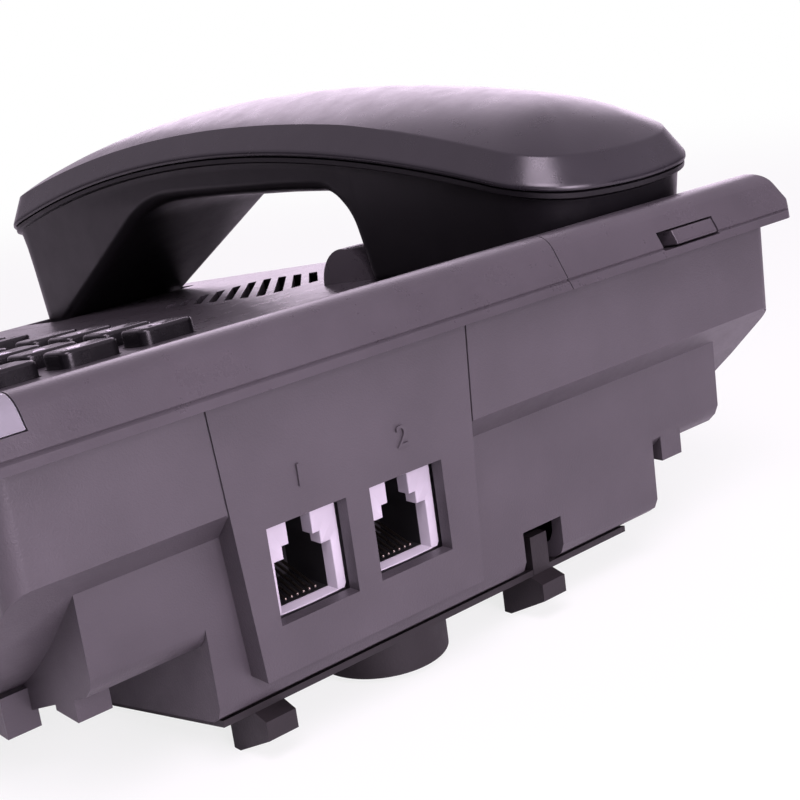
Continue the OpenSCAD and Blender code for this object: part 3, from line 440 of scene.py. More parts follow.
class TELEPHONE_OT_finishes(bpy.types.Operator):
    """Makes the plastics, metals and rubber"""

    bl_idname = "telephone.finishes"
    bl_label = "Finishes"

    def execute(self, context):
        f = form("finishes")
        # Key, name, colour, roughness, width and depth of the grain in millimetres, IOR.
        # The grain of real tools is about 0.1 mm, so all of it is drawn coarser, as far as it needs to show
        plastics = (
            # ABS with a spark-eroded grain: matt and finely speckled
            ("grained", "abs_spark_grain", f.shell, 0.42, 0.3, 0.05, 1.49),
            # ABS from a finely blasted tool: satin, with a soft sheen along the rim
            ("satin", "abs_satin", f.shell, 0.3, 0.3, 0.03, 1.49),
            # ABS of the handset: smooth satin with almost no grain
            ("handset", "abs_handset", f.handset, 0.3, 0.35, 0.012, 1.49),
            # ABS of the handset's lower shell: painted shade, a darker copy of the handset's ABS, near black,
            # and with a low IOR it gives back little light
            ("handset_lower", "abs_handset_lower", linear("#070608"), 0.34, 0.35, 0.01, 1.33),
            # Matt black deep in the sockets' cavities: painted shade, a black sheet over the pale socket where
            # it lies in shade
            ("lining", "polyamide_lining", linear("#060607"), 0.6, 0.8, 0.01, 1.49),
            # Polished ABS: black, with thin clear highlights on the dished tops
            ("key", "key_abs_gloss", f.key, 0.26, 0.5, 0.012, 1.38),
            # ABS of the adaptor: dull brown-black
            ("adaptor", "abs_adaptor", f.adaptor, 0.48, 0.5, 0.04, 1.4),
            # Polycarbonate: smooth grey-white with a broad sheen
            ("socket", "polycarbonate_socket", f.socket, 0.36, 0.8, 0.01, 1.58),
            # Black polycarbonate: smooth with a broad sheen
            ("socket_black", "polycarbonate_black", linear("#141316"), 0.35, 0.8, 0.01, 1.58),
            # Moulded rubber: matt and a little rough
            ("rubber", "rubber_foot", linear("#121213"), 0.75, 0.6, 0.05, 1.52),
            # Moulded silicone: dull dark grey
            ("silicone", "silicone_mat", linear("#3a3a3e"), 0.6, 0.7, 0.02, 1.41),
            # Solder mask over a woven board: green lacquer, faintly wavy
            ("board", "solder_mask_board", linear("#2c5a3c"), 0.4, 0.9, 0.02, 1.55),
            # Printed digits: thin pale matt ink
            ("ink", "pale_ink", f.digit, 0.55, 0.5, 0.004, 1.49),
        )
        # Key, name, colour, roughness, width of the streaks in millimetres
        metals = (
            # Drawn gold-plated wire, darkened to a dull grey-brown as it shows in the sockets' shade: painted
            # shade, with a warm glint
            ("contact", "gold_plated_wire", f.contact, 0.3, 0.5),
            # Zinc-plated steel: pale grey with a soft shine
            ("steel", "zinc_plated_steel", linear("#b9bbbf"), 0.35, 0.4),
            # Plain iron: dull mid grey
            ("iron", "plain_iron", linear("#6f6f72"), 0.55, 0.8),
        )
        for key, *finish in plastics:
            MATERIALS[key] = moulded_plastic(*finish)
        for key, *finish in metals:
            MATERIALS[key] = plated_metal(*finish)
        # Clear polycarbonate over dark plastic: silver-grey, with a rippled shine
        MATERIALS["lens"] = clear_plastic("polycarbonate_lens", linear("#9b9aa0"))
        return {"FINISHED"}


# Housing

# Width of the rolled edges of the lower housing and of carried-over nodes, in millimetres
HOUSING_ROLL = 0.6
ROLLED = {
    "keypad_cover": 0.6,
    "cradle_cover": 0.6,
    "stand_adaptor": 0.4,
    "ringer_slider": 0.25,
    "hook_plunger": 0.4,
    "cord_jack": 0.15,
    "handset_jack": 0.15,
    "front_feet": 0.5,
    "lamp_lens": 0.3,
}

# The housing's open top behind the keys, in the deck frame: low and high corners of its three parts
OPEN_TOP = (
    ((-70.3, -2.0, -4.5), (70.3, 90.1, -3.8)),
    ((-70.3, 90.2, -4.5), (-1.5, 98.0, -3.8)),
    ((43.0, 90.2, -4.5), (70.3, 98.0, -3.8)),
)


def cleared_housing():
    """The lower housing, joined, with the thin sheet over the rear of its open top cut away.
    The keys then move freely there."""
    mesh = NODES["lower_housing"].data.copy()
    joined = bmesh.new()
    joined.from_mesh(mesh)
    bmesh.ops.remove_doubles(joined, verts=joined.verts, dist=JOINED)
    joined.to_mesh(mesh)
    joined.free()
    mesh.materials.clear()
    mesh.materials.append(MATERIALS["grained"])
    piece = in_scene("lower_housing_shell", mesh)
    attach(piece, "base")
    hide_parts("lower_housing")
    opened(piece, [woven(from_deck(block(low, high))) for low, high in OPEN_TOP])
    return piece


class TELEPHONE_OT_housing(bpy.types.Operator):
    """Rounds and finishes the housing, covers, sockets and inner pieces that come with the frame"""

    bl_idname = "telephone.housing"
    bl_label = "Housing"

    def execute(self, context):
        softened(cleared_housing(), HOUSING_ROLL, merged=False)
        for name, width in ROLLED.items():
            softened(NODES[name], width)
        dress("satin", "keypad_cover", "cradle_cover", "ringer_slider", "hook_plunger")
        dress("adaptor", "stand_adaptor")
        dress("rubber", "front_feet")
        dress("lens", "lamp_lens")
        dress("socket_black", "cord_jack", "handset_jack", "loudspeaker", "hook_switch", "receiver")
        dress("contact", "line_contacts_1", "line_contacts_2", "cord_contacts", "handset_contacts")
        dress("steel", "housing_screws", "board_screws", "handset_screws", "microphone")
        dress("iron", "handset_weight")
        dress("board", "main_board", "key_board")
        dress("silicone", "key_mat")
        return {"FINISHED"}


# Handset, in millimetres in its own frame: y runs to the ear end, z stands up from the grip

EAR_END, MOUTH_END = 94.0, -104.5
SEAM_TOP, SEAM_ARCH, CROWN_TOP, CROWN_ARCH = 11.4, 379.0, 21.0, 430.0
# Height of the band's foot above the seam, and the gap that the seam leaves
EDGE, SEAM_GAP = 0.8, 0.15
# Towards the ear end the crease drops further: by how much, from where, over what run
EAR_FALL, EAR_FALL_FROM, EAR_FALL_RUN = 2.0, 42.0, 50.0
# Underside: level of the grip, the walls beside it, and the plane that the cups rest on
GRIP, EAR_WALL, EAR_ARCH, MOUTH_ARCH, MOUTH_FOOT = 3.0, 42.7, 39.85, -30.0, -85.14
FOOT_LEVEL, FOOT_SLOPE = -18.87, 0.0875
UNDERSIDE_ROUNDS = (2.8, 8.0, 40.0, 5.0)
# Points along the outline: on a bowed end, its corner, the upper shell's side and the underside
BOW_CUTS, CORNER_CUTS, SIDE_CUTS, UNDERSIDE_CUTS = 14, 12, 66, 180

# Upper shell: inset and rise of the rings round its lower edge, shares of the way up the band,
# and shares of the way out from the crown's ridge to the crease
UPPER_INSIDE = 1.2
UPPER_LIP = (
    (2.0, UPPER_INSIDE),
    (2.0, 0.0),
    (0.35, 0.0),
    (0.1, 0.1),
    (0.0, 0.35),
    (0.0, 0.65),
    (0.06, EDGE + 0.1),
)
BAND_SHARES = (0.12, 0.35, 0.6, 0.85, 0.96, 1.0)
CROWN_SHARES = (0.985, 0.95, 0.88, 0.78, 0.66, 0.52, 0.38, 0.24, 0.12, 0.0)

# Lower shell: inset of its lip and of the step under it, by depth below the seam
LIP_DEPTHS, LIP_INSETS = (0.0, 0.12, 0.9, 1.0, 1.3, 2.2), (0.45, 0.2, 0.2, 0.3, 1.2, 1.3)
SIDE_DRAFT = np.tan(np.radians(4.5))
# Rake of each end: how far in, below which level, over what drop
EAR_RAKE, MOUTH_RAKE = (2.3, 0.0, 10.0), (2.6, -3.0, 5.0)
# Depths of the rings down the lip, and shares of the way down the wall below it
LIP_RINGS = np.array([0.0, 0.12, 0.5, 0.9, 1.0, 1.3, 1.7, 2.2])
WALL_SHARES = np.array([0.15, 0.4, 0.65, 0.85, 1.0])
# Rolled lower edge: its height, what the grip adds to it, its width, and its steps
ROLL_HEIGHT, GRIP_HEIGHT, ROLL_WIDTH, ROLL_CUTS = 2.4, 0.3, 2.6, 9
# Where the grip's wider edge lies, and over how many points to each side it eases in
GRIP_SPAN, GRIP_EASE = (-24.0, 30.0), 8

# Sound holes: count, circle and radius at the ear, radius at the mouth, places on the deck, reach
EAR_HOLES, EAR_CIRCLE, EAR_HOLE, MOUTH_HOLE = 6, 6.0, 0.9, 1.2
EAR_MIDDLE, MOUTH_MIDDLE, HOLE_REACH = 69.9, -89.9, 4.0
# Screw seats under the grip: places, radius, and levels from the grip
SCREW_Y, SCREW_SEAT, SEAT_LOW, SEAT_HIGH = (26.0, -12.0), 2.3, -3.0, 1.6
# Pocket of the cord socket: level, width and height, inner end, and how far the cut stands out
JACK_LEVEL, JACK_WINDOW, JACK_END, JACK_REACH = -9.0, (9.6, 9.4), -86.0, 4.0


def arch_height(y, top, radius):
    """Height of a long arch: a circle of the given radius whose top stands at the given height."""
    return top - radius + np.sqrt(radius**2 - y**2)


def seam_height(y):
    """Height of the seam between the shells, on its own long arch."""
    return arch_height(y, SEAM_TOP, SEAM_ARCH)


def foot_height(y):
    """The plane that both cups rest on: it follows the deck, which slopes in the handset's frame."""
    return FOOT_LEVEL + FOOT_SLOPE * y


def side_span(h):
    """Where the straight side starts at the ear end and stops at the mouth end, and the bow's half angle."""
    bow, corner = mm(h.end_bow), mm(h.corner)
    meet = np.arcsin((mm(h.width) / 2 - corner) / (bow - corner))
    drop = bow - (bow - corner) * np.cos(meet)
    return EAR_END - drop, MOUTH_END + drop, meet


def handset_outline(h, side):
    """Half of the plan, from the middle of the ear end round the right side to the middle of the mouth end.
    Each end is a wide arc, joined to the straight side by a corner arc. Gives points and outward normals."""
    half_w, bow, corner = mm(h.width) / 2, mm(h.end_bow), mm(h.corner)
    start, _, meet = side_span(h)
    swing = np.concatenate([np.linspace(0, meet, BOW_CUTS)[:-1], np.linspace(meet, np.pi / 2, CORNER_CUTS)])
    out = np.column_stack([np.sin(swing), np.cos(swing)])
    wide = np.array([0.0, EAR_END - bow]) + bow * out
    tight = np.array([half_w - corner, start]) + corner * out
    ear = np.where((swing < meet)[:, None], wide, tight)
    flip = np.array([1.0, -1.0])
    mouth = (ear - np.array([0.0, EAR_END])) * flip + np.array([0.0, MOUTH_END])
    straight = np.column_stack([np.full(len(side), half_w), side])
    points = np.concatenate([ear, straight, mouth[::-1]])
    normals = np.concatenate([out, np.tile([1.0, 0.0], (len(side), 1)), (out * flip)[::-1]])
    return points, normals


def upper_shell_points(h):
    """Rings from the inside of the shell, round its lower edge, up the leaning band and over the crown.
    The crown falls from its long arch by the square of each ring's share of the way out to the crease."""
    start, stop, _ = side_span(h)
    half, normal = handset_outline(h, np.linspace(start, stop, SIDE_CUTS)[1:-1])
    mirror = np.array([-1.0, 1.0])
    loop, out = (np.concatenate([part, part[-2:0:-1] * mirror]) for part in (half, normal))
    lean, middle = mm(h.lean), (EAR_END + MOUTH_END) / 2
    squeeze = (mm(h.width) / 2 - lean) / ((EAR_END - MOUTH_END) / 2 - lean)
    crease = loop - out * lean
    fall = mm(h.crown) + EAR_FALL * np.clip((crease[:, 1] - EAR_FALL_FROM) / EAR_FALL_RUN, 0, 1)

    def drawn_in(share):
        """The crease drawn in towards the ridge along the middle."""
        y = middle + (crease[:, 1] - middle) * (1 - (1 - share) * squeeze)
        return np.column_stack([crease[:, 0] * share, y])

    ridge = drawn_in(0.0)
    rings = [np.column_stack([ridge, seam_height(ridge[:, 1]) + UPPER_INSIDE])]
    for inset, rise in UPPER_LIP:
        ring = loop - out * inset
        rings.append(np.column_stack([ring, seam_height(ring[:, 1]) + rise]))
    foot_z = seam_height(loop[:, 1]) + EDGE
    crease_z = arch_height(crease[:, 1], CROWN_TOP, CROWN_ARCH) - fall
    for share in BAND_SHARES:
        level = foot_z + share * (crease_z - foot_z)
        rings.append(np.column_stack([loop + share * (crease - loop), level]))
    for share in CROWN_SHARES:
        ring = drawn_in(share)
        level = arch_height(ring[:, 1], CROWN_TOP, CROWN_ARCH) - fall * share**2
        rings.append(np.column_stack([ring, level]))
    return np.stack(rings)


def shell_inset(depth, level, out):
    """How far the lower shell stands in from the outline: a lip at the seam, a step under it,
    then draft along the sides and raked ends."""
    step = np.interp(depth, LIP_DEPTHS, LIP_INSETS)
    inset = step + SIDE_DRAFT * np.maximum(GRIP - level, 0) * out[..., 0] ** 2
    for (reach, top, drop), facing in ((EAR_RAKE, out[..., 1]), (MOUTH_RAKE, -out[..., 1])):
        inset = inset + reach * np.clip((top - level) / drop, 0, 1) * np.maximum(facing, 0) ** 2
    return inset


def underside(h):
    """The underside's line along the straight side, evenly cut, with its normals into the body:
    the ear cup's foot, its inner wall, the arch of the grip, the long slope and the mouth cup's foot."""
    start, stop, _ = side_span(h)
    corners = [(y, foot_height(y)) for y in (start, EAR_WALL)] + [(EAR_ARCH, GRIP), (MOUTH_ARCH, GRIP)]
    corners += [(y, foot_height(y)) for y in (MOUTH_FOOT, stop)]
    path = rounded_path(corners, UNDERSIDE_ROUNDS)
    run = np.concatenate([[0], np.cumsum(np.linalg.norm(np.diff(path, axis=0), axis=1))])
    even = np.linspace(0, run[-1], UNDERSIDE_CUTS)
    path = np.column_stack([np.interp(even, run, path[:, i]) for i in (0, 1)])
    along = np.gradient(path, axis=0)
    along /= np.linalg.norm(along, axis=1)[:, None]
    return path[1:-1], np.column_stack([along[:, 1], -along[:, 0]])[1:-1]


def lower_shell_points(h):
    """Sections round the shell, one for each point of the half outline, from the ear end to the mouth end.
    Each runs from the seam down the wall, round an elliptic edge, across the underside and up again."""
    base, inward = underside(h)
    in_grip = ((base[:, 0] > GRIP_SPAN[0]) & (base[:, 0] < GRIP_SPAN[1])).astype(float)
    window = 2 * GRIP_EASE + 1
    in_grip = np.convolve(np.pad(in_grip, GRIP_EASE, mode="edge"), np.ones(window) / window, mode="valid")
    deep = ROLL_HEIGHT + GRIP_HEIGHT * in_grip
    side = np.minimum.accumulate(base[:, 0] + inward[:, 0] * deep)
    plan, out = handset_outline(h, side)
    ends = (len(plan) - len(side)) // 2
    straight = slice(ends, ends + len(side))

    roll = np.full(len(plan), ROLL_WIDTH)
    roll[straight] += (mm(h.roll) - ROLL_WIDTH) * in_grip
    sink = np.full(len(plan), ROLL_HEIGHT)
    sink[straight] = deep
    level = foot_height(plan[:, 1]) + sink
    level[straight] = base[:, 1] + inward[:, 1] * deep
    seam = seam_height(plan[:, 1]) - SEAM_GAP
    height = seam - level
    foot_inset = shell_inset(height, level, out)

    lip = np.tile(LIP_RINGS, (len(plan), 1))
    below = LIP_RINGS[-1] + np.maximum(height - LIP_RINGS[-1], 0)[:, None] * WALL_SHARES
    depth = np.minimum(np.concatenate([lip, below], axis=1), height[:, None])
    wall_z = seam[:, None] - depth
    inset = shell_inset(depth, wall_z, out[:, None, :])
    wall = np.dstack([plan[:, None, :] - out[:, None, :] * inset[..., None], wall_z])

    bend = np.radians(np.linspace(0, 90, ROLL_CUTS))[1:]
    bend_inset = foot_inset[:, None] + roll[:, None] * (1 - np.cos(bend))
    edge_plan = plan[:, None, :] - out[:, None, :] * bend_inset[..., None]
    edge_z = foot_height(edge_plan[..., 1]) + sink[:, None] * (1 - np.sin(bend))
    lift = deep[:, None] * (1 - np.sin(bend))
    edge_plan[straight, :, 1] = base[:, None, 0] + inward[:, None, 0] * lift
    edge_z[straight] = base[:, None, 1] + inward[:, None, 1] * lift
    edge = np.dstack([edge_plan, edge_z])

    floor = edge[:, -1:] * np.array([0.5, 1.0, 1.0])
    middle = edge[:, -1:] * np.array([0.0, 1.0, 1.0])
    right = np.concatenate([wall, edge, floor], axis=1)
    return np.concatenate([right, middle, right[:, ::-1] * np.array([-1.0, 1.0, 1.0])], axis=1)


def handset_openings():
    """The sound holes at both ends, the screw seats under the grip and the pocket of the cord socket."""
    x = HANDSET_PLACE[0]
    holes = []
    for turn in np.radians(np.arange(EAR_HOLES) * 360.0 / EAR_HOLES):
        holes.append((x + EAR_CIRCLE * np.cos(turn), EAR_MIDDLE + EAR_CIRCLE * np.sin(turn), EAR_HOLE))
    holes.append((x, MOUTH_MIDDLE, MOUTH_HOLE))
    tools = [from_deck(tube(np.array(middle), -HOLE_REACH, HOLE_REACH, radius)) for *middle, radius in holes]
    for y in SCREW_Y:
        seat = tube(np.array([0.0, y]), GRIP + SEAT_LOW, GRIP + SEAT_HIGH, SCREW_SEAT)
        tools.append(from_handset(seat))
    half_w, half_h = JACK_WINDOW[0] / 2, JACK_WINDOW[1] / 2
    low = (-half_w, MOUTH_END - JACK_REACH, JACK_LEVEL - half_h)
    tools.append(from_handset(block(low, (half_w, JACK_END, JACK_LEVEL + half_h))))
    return [woven(rings) for rings in tools]


class TELEPHONE_OT_handset(bpy.types.Operator):
    """Builds the two shells of the handset over the frame's own"""

    bl_idname = "telephone.handset"
    bl_label = "Handset"

    def execute(self, context):
        h = form("handset_form")
        points, faces = woven(from_handset(upper_shell_points(h)))
        upper = mesh_object("handset_upper_shell", points, faces, "handset", "handset")
        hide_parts("handset_top")
        points, faces = woven(from_handset(lower_shell_points(h)))
        # The lower shell takes the near-black copy of the handset's ABS: painted shade
        lower = mesh_object("handset_lower_shell", points, faces, "handset", "handset_lower")
        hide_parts("handset_bottom")
        opened(lower, handset_openings())
        return {"FINISHED"}


# Keys, in millimetres in the deck frame

DIAL_MIDDLE, DIAL_PITCH, DIAL_CAP = (28.0, 20.0), (14.4, 14.0), (10.4, 8.2)
DIAL_NAMES = ("1", "2", "3", "4", "5", "6", "7", "8", "9", "star", "0", "hash")
DIAL_COLUMNS, DIAL_ROWS = 3, 4
SIGNS = {"star": "*", "hash": "#"}
# Rows of long keys, by their distance in front of the dial's middle
LONG_CAP = (11.0, 5.6)
LONG_ROWS = ((42.0, ("flash", "redial", "pause")), (53.0, ("m1", "m2", "m3")))
# Flange under the deck: how far it stands out, its foot and its top
FLANGE, FLANGE_FOOT, FLANGE_TOP = 1.0, -3.6, -2.6
CAP_CORNER, LEAST_CORNER = 1.65, 0.02
# Points on a cap's rolled edge, rings of its dish and the share of the way in to the last of them
CAP_EDGE_CUTS, DISH_RINGS, DISH_REACH, DISH_POWER = 6, 8, 0.96, 1.3
# Thickness of the ink, and height of the star as a share of a digit's
INK, STAR_SHARE = 0.08, 0.55


def key_places():
    """Name, middle on the deck and cap size of every key."""
    places = []
    for i, name in enumerate(DIAL_NAMES):
        x = DIAL_MIDDLE[0] + (i % DIAL_COLUMNS - 1) * DIAL_PITCH[0]
        y = DIAL_MIDDLE[1] + ((DIAL_ROWS - 1) / 2 - i // DIAL_COLUMNS) * DIAL_PITCH[1]
        places.append((f"key_{name}", (x, y), DIAL_CAP))
    for row, names in LONG_ROWS:
        for i, name in enumerate(names):
            x = DIAL_MIDDLE[0] + (i - 1) * DIAL_PITCH[0]
            places.append((f"key_{name}", (x, DIAL_MIDDLE[1] - row), LONG_CAP))
    return places


def dish_share(share):
    """Depth of the finger dish, as a share of its deepest, at a share of the way from the edge to the middle:
    a quarter sine wave, raised to a power."""
    return np.sin(share * np.pi / 2) ** DISH_POWER


def key_points(cap, k):
    """Rings from the flange under the deck, up the cap and over its rolled edge to the dish in the middle."""
    half_w, half_l, rise, edge, dish = cap[0] / 2, cap[1] / 2, mm(k.rise), mm(k.edge), mm(k.dish)
    turn = np.radians(np.linspace(0, 90, CAP_EDGE_CUTS))
    profile = [(-FLANGE, FLANGE_FOOT), (-FLANGE, FLANGE_TOP), (0.0, FLANGE_TOP), (0.0, rise - edge)]
    profile += [(edge * (1 - np.cos(a)), rise - edge * (1 - np.sin(a))) for a in turn[1:]]
    loops = []
    for inset, level in profile:
        corner = max(CAP_CORNER - inset, LEAST_CORNER)
        loops.append((rounded_loop(half_w - inset, half_l - inset, corner), level))
    for share in np.linspace(0, DISH_REACH, DISH_RINGS)[1:]:
        left = 1 - share
        corner = max((CAP_CORNER - edge) * left, LEAST_CORNER)
        loop = rounded_loop((half_w - edge) * left, (half_l - edge) * left, corner)
        loops.append((loop, rise - dish * dish_share(share)))
    return np.stack([np.column_stack([loop, np.full(len(loop), level)]) for loop, level in loops])


def on_dish(points, cap, k):
    """Points about a cap's middle, raised onto its dished top."""
    reach = np.array(cap) / 2 - mm(k.edge)
    share = 1 - np.max(np.abs(points[:, :2]) / reach, axis=1)
    level = mm(k.rise) - mm(k.dish) * dish_share(np.clip(share, 0, 1))
    return points + np.column_stack([np.zeros((len(points), 2)), level])


def text_points(text, height, thickness):
    """A line of type as a mesh about the origin: width and height centred, thickness upwards."""
    curve = bpy.data.curves.new("type", "FONT")
    curve.body, curve.size, curve.extrude = text, 1.0, 0.5
    carrier = in_scene("type", curve)
    mesh = shown_mesh(carrier)
    points = np.empty(len(mesh.vertices) * 3)
    mesh.vertices.foreach_get("co", points)
    points = points.reshape(-1, 3)
    faces = [list(p.vertices) for p in mesh.polygons]
    bpy.data.objects.remove(carrier)
    low, high = points.min(axis=0), points.max(axis=0)
    scale = height / (high[1] - low[1])
    points = (points - (low + high) / 2) * np.array([scale, scale, thickness])
    return points + np.array([0, 0, thickness / 2]), faces


class TELEPHONE_OT_keys(bpy.types.Operator):
    """Builds the key caps with their dishes and digits"""

    bl_idname = "telephone.keys"
    bl_label = "Keys"

    def execute(self, context):
        k = form("key_form")
        for name, (x, y), cap in key_places():
            place = np.array([x, y, 0.0])
            rings = key_points(cap, k) + place
            points, faces = from_deck(rings.reshape(-1, 3)), capped(*rings.shape[:2])
            piece = mesh_object(f"{name}_cap", points, faces, name, "key")
            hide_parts(name)
            label = name.removeprefix("key_")
            if label in DIAL_NAMES:
                height = mm(k.digit) * (STAR_SHARE if label == "star" else 1.0)
                points, faces = text_points(SIGNS.get(label, label), height, INK)
                points = from_deck(on_dish(points, cap, k) + place)
                mesh_object(f"{name}_digit", points, faces, name, "ink", smooth=False)
        return {"FINISHED"}


# Line sockets, in millimetres from the middle of each window: x towards +X, z up

SOCKET_X, SOCKET_Z, PANEL_Y = (30.2, 12.8), 27.4, 100.0
SOCKET_HALF = np.array([6.5, 6.7])
# Right half of the plug's opening, its shift to the side, the middle its rings close on, and cuts in each edge
CAVITY = np.array([(4.75, -6.6), (4.75, 0.7), (3.15, 0.7), (3.15, 2.5), (2.0, 2.5), (2.0, 6.2)])
SOCKET_SHIFT, CAVITY_MIDDLE, CAVITY_CUTS = -0.3, -3.0, 12
# Depths along Y: the face, where the black sheet of painted shade starts, the cavity's floor and the block's
# back
FACE, PALE, FLOOR, BACK = 97.2, 94.9, 85.6, 83.0
CAVITY_SHADE_FLOOR = FLOOR + 0.2
# Rings of a socket and of the black sheet of painted shade in its cavity: share of the way from the opening to
# the sides, growth, depth
SOCKET_STEPS = (
    (-1, 0, BACK),
    (1, 0, BACK),
    (1, 0, FACE),
    (0, 0.25, FACE),
    (0, 0.07, FACE - 0.07),
    (0, 0, FACE - 0.25),
    (0, 0, FLOOR),
    (-1, 0, FLOOR),
)
CAVITY_SHADE_STEPS = (
    (-1, 0, FLOOR),
    (0, 0.1, FLOOR),
    (0, 0.1, PALE),
    (0, -0.05, PALE),
    (0, -0.05, CAVITY_SHADE_FLOOR),
    (-1, 0, CAVITY_SHADE_FLOOR),
)
# Raised numbers above the sockets: places, height, relief, and how far they are sunk into the panel
NUMBER_X, NUMBER_Z, NUMBER_HEIGHT, NUMBER_RELIEF, NUMBER_SINK = (30.6, 12.7), 39.8, 3.1, 0.4, 0.05


def stepped_opening():
    """The plug's opening as an evenly cut closed line: a wide cavity, a latch step and the latch's slot."""
    mirror, shift = np.array([-1.0, 1.0]), np.array([SOCKET_SHIFT, 0.0])
    corners = np.concatenate([CAVITY, CAVITY[::-1] * mirror]) + shift
    after = np.roll(corners, -1, axis=0)
    share = np.linspace(0, 1, CAVITY_CUTS, endpoint=False)[None, :, None]
    return (corners[:, None, :] + share * (after - corners)[:, None, :]).reshape(-1, 2)


def socket_rings(opening, steps):
    """Rings about the cavity's middle: each step gives a share of the way out from the opening to the block's
    sides, a growth of the opening and a depth. A share below 0 draws the ring in to the middle."""
    middle = np.array([SOCKET_SHIFT, CAVITY_MIDDLE])
    ray = opening - middle
    ray = ray / np.linalg.norm(ray, axis=1)[:, None]
    reach = np.min((np.sign(ray) * SOCKET_HALF - middle) / np.where(ray == 0, 1e-9, ray), axis=1)
    sides = middle + ray * reach[:, None]
    rings = []
    for share, growth, y in steps:
        line = opening + ray * growth
        line = middle + (line - middle) * (1 + share) if share < 0 else line + share * (sides - line)
        rings.append(np.column_stack([line[:, 0], np.full(len(line), y), line[:, 1]]))
    return np.stack(rings)


class TELEPHONE_OT_sockets(bpy.types.Operator):
    """Builds the two line sockets, with a black sheet of painted shade deep in each cavity, and raises a plain
    number above each
    """

    bl_idname = "telephone.sockets"
    bl_label = "Sockets"

    def execute(self, context):
        opening = stepped_opening()
        for label, x, number_x in zip("12", SOCKET_X, NUMBER_X):
            place = np.array([x, 0.0, SOCKET_Z])
            name = f"line_socket_{label}"
            points, faces = woven(socket_rings(opening, SOCKET_STEPS) + place)
            piece = mesh_object(name, points, faces, "base", "socket")
            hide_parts(f"line_jack_{label}")
            # A black sheet over the cavity's walls and floor, from a little below the face: painted shade
            points, faces = woven(socket_rings(opening, CAVITY_SHADE_STEPS) + place)
            mesh_object(f"{name}_lining", points, faces, "base", "lining")
            points, faces = text_points(label, NUMBER_HEIGHT, NUMBER_RELIEF)
            # The panel faces the rear, so the line of type runs towards -X and its thickness towards +Y
            along, up, relief = points.T
            points = np.column_stack([number_x - along, PANEL_Y + relief - NUMBER_SINK, NUMBER_Z + up])
            mesh_object(f"socket_number_{label}", points, faces, "base", "satin", smooth=False)
        return {"FINISHED"}


# Studio, in metres

CAMERA_PLACE, CAMERA_LENS, CAMERA_SENSOR, CAMERA_NEAR = (0.1342, 0.2534, 0.0987), 66.6, 36.0, 0.01
CAMERA_RIGHT, CAMERA_UP = (-0.7521, 0.6456, -0.1323), (-0.2711, -0.1201, 0.955)
CAMERA_BACK = (0.6007, 0.7541, 0.2654)
# Name, place, aim, side and power of each softbox
LAMPS = (
    ("softbox_key", (0.06, 0.78, 0.24), (0.03, 0.1, 0.03), 0.4, 8.0),
    ("softbox_top", (0.3, 0.48, 0.7), (0.08, 0.25, 0.0), 0.45, 8.0),
    ("softbox_back", (-0.72, -0.66, 0.42), (-0.04, 0.0, 0.06), 0.8, 4.4),
)
STUDIO_TINT = linear("#f5e2f8")
# Floor: half its side, and how much of a full white the camera sees from one distance to another
FLOOR_REACH, GLOW_NEAR, GLOW_FAR, GLOW_LEAST = 6.0, 0.3, 0.7, 0.8
PAPER, WHITE = (0.8, 0.8, 0.8, 1.0), (1.0, 1.0, 1.0, 1.0)
# Surround: the way to the backdrop, its level for plain light, and its least level in reflections
BACKDROP, FILL, DIM = (-0.623, -0.782, 0.0), 0.3, 0.06
# Where reflections turn white: cosine of the angle to the backdrop, and height of the way up
BEHIND_RANGE, ABOVE_RANGE = (0.5, 0.9), (0.1, 0.6)


def stance(right, up, back, place):
    """The matrix of a lamp or camera, from its own three axes and its place."""
    turn = np.eye(4)
    turn[:3, 0], turn[:3, 1], turn[:3, 2], turn[:3, 3] = right, up, back, place
    return Matrix(turn.tolist())


def soft_lamp(name, place, aim, size, power):
    """A square softbox that faces a point."""
    lamp = bpy.data.lights.new(name, "AREA")
    lamp.size, lamp.energy, lamp.color = size, power, STUDIO_TINT
    back = np.array(place) - np.array(aim)
    back = back / np.linalg.norm(back)
    right = np.cross((0.0, 0.0, 1.0), back)
    right = right / np.linalg.norm(right)
    in_scene(name, lamp).matrix_world = stance(right, np.cross(back, right), back, place)


def white_floor():
    """White paper: matt, seen at a full white by the camera except where the telephone shades it."""
    material, tree = new_material("white_paper")
    place = node(tree, "ShaderNodeTexCoord").outputs["Object"]
    fibre = node(tree, "ShaderNodeTexNoise", {"Vector": place, "Scale": per_mm(0.8), "Detail": 2.0})
    bump = node(tree, "ShaderNodeBump", {"Height": fibre.outputs[0], "Strength": 0.05, "Distance": 0.01 * MM})
    paint = node(tree, "ShaderNodeBsdfDiffuse", {"Color": PAPER, "Normal": bump.outputs[0]})
    glow = node(tree, "ShaderNodeEmission", {"Color": WHITE, "Strength": 1.0})
    away = node(tree, "ShaderNodeVectorMath", {0: place}, operation="LENGTH").outputs["Value"]
    inputs = {"Value": away, "From Min": GLOW_NEAR, "From Max": GLOW_FAR, "To Min": GLOW_LEAST, "To Max": 1.0}
    share = node(tree, "ShaderNodeMapRange", inputs, interpolation_type="SMOOTHSTEP").outputs[0]
    rays = node(tree, "ShaderNodeLightPath")
    seen = node(tree, "ShaderNodeMath", {0: rays.outputs["Is Camera Ray"], 1: share}, operation="MULTIPLY")
    blend = node(tree, "ShaderNodeMixShader", {0: seen.outputs[0], 1: paint.outputs[0], 2: glow.outputs[0]})
    node(tree, "ShaderNodeOutputMaterial", {"Surface": blend.outputs[0]})
    return material


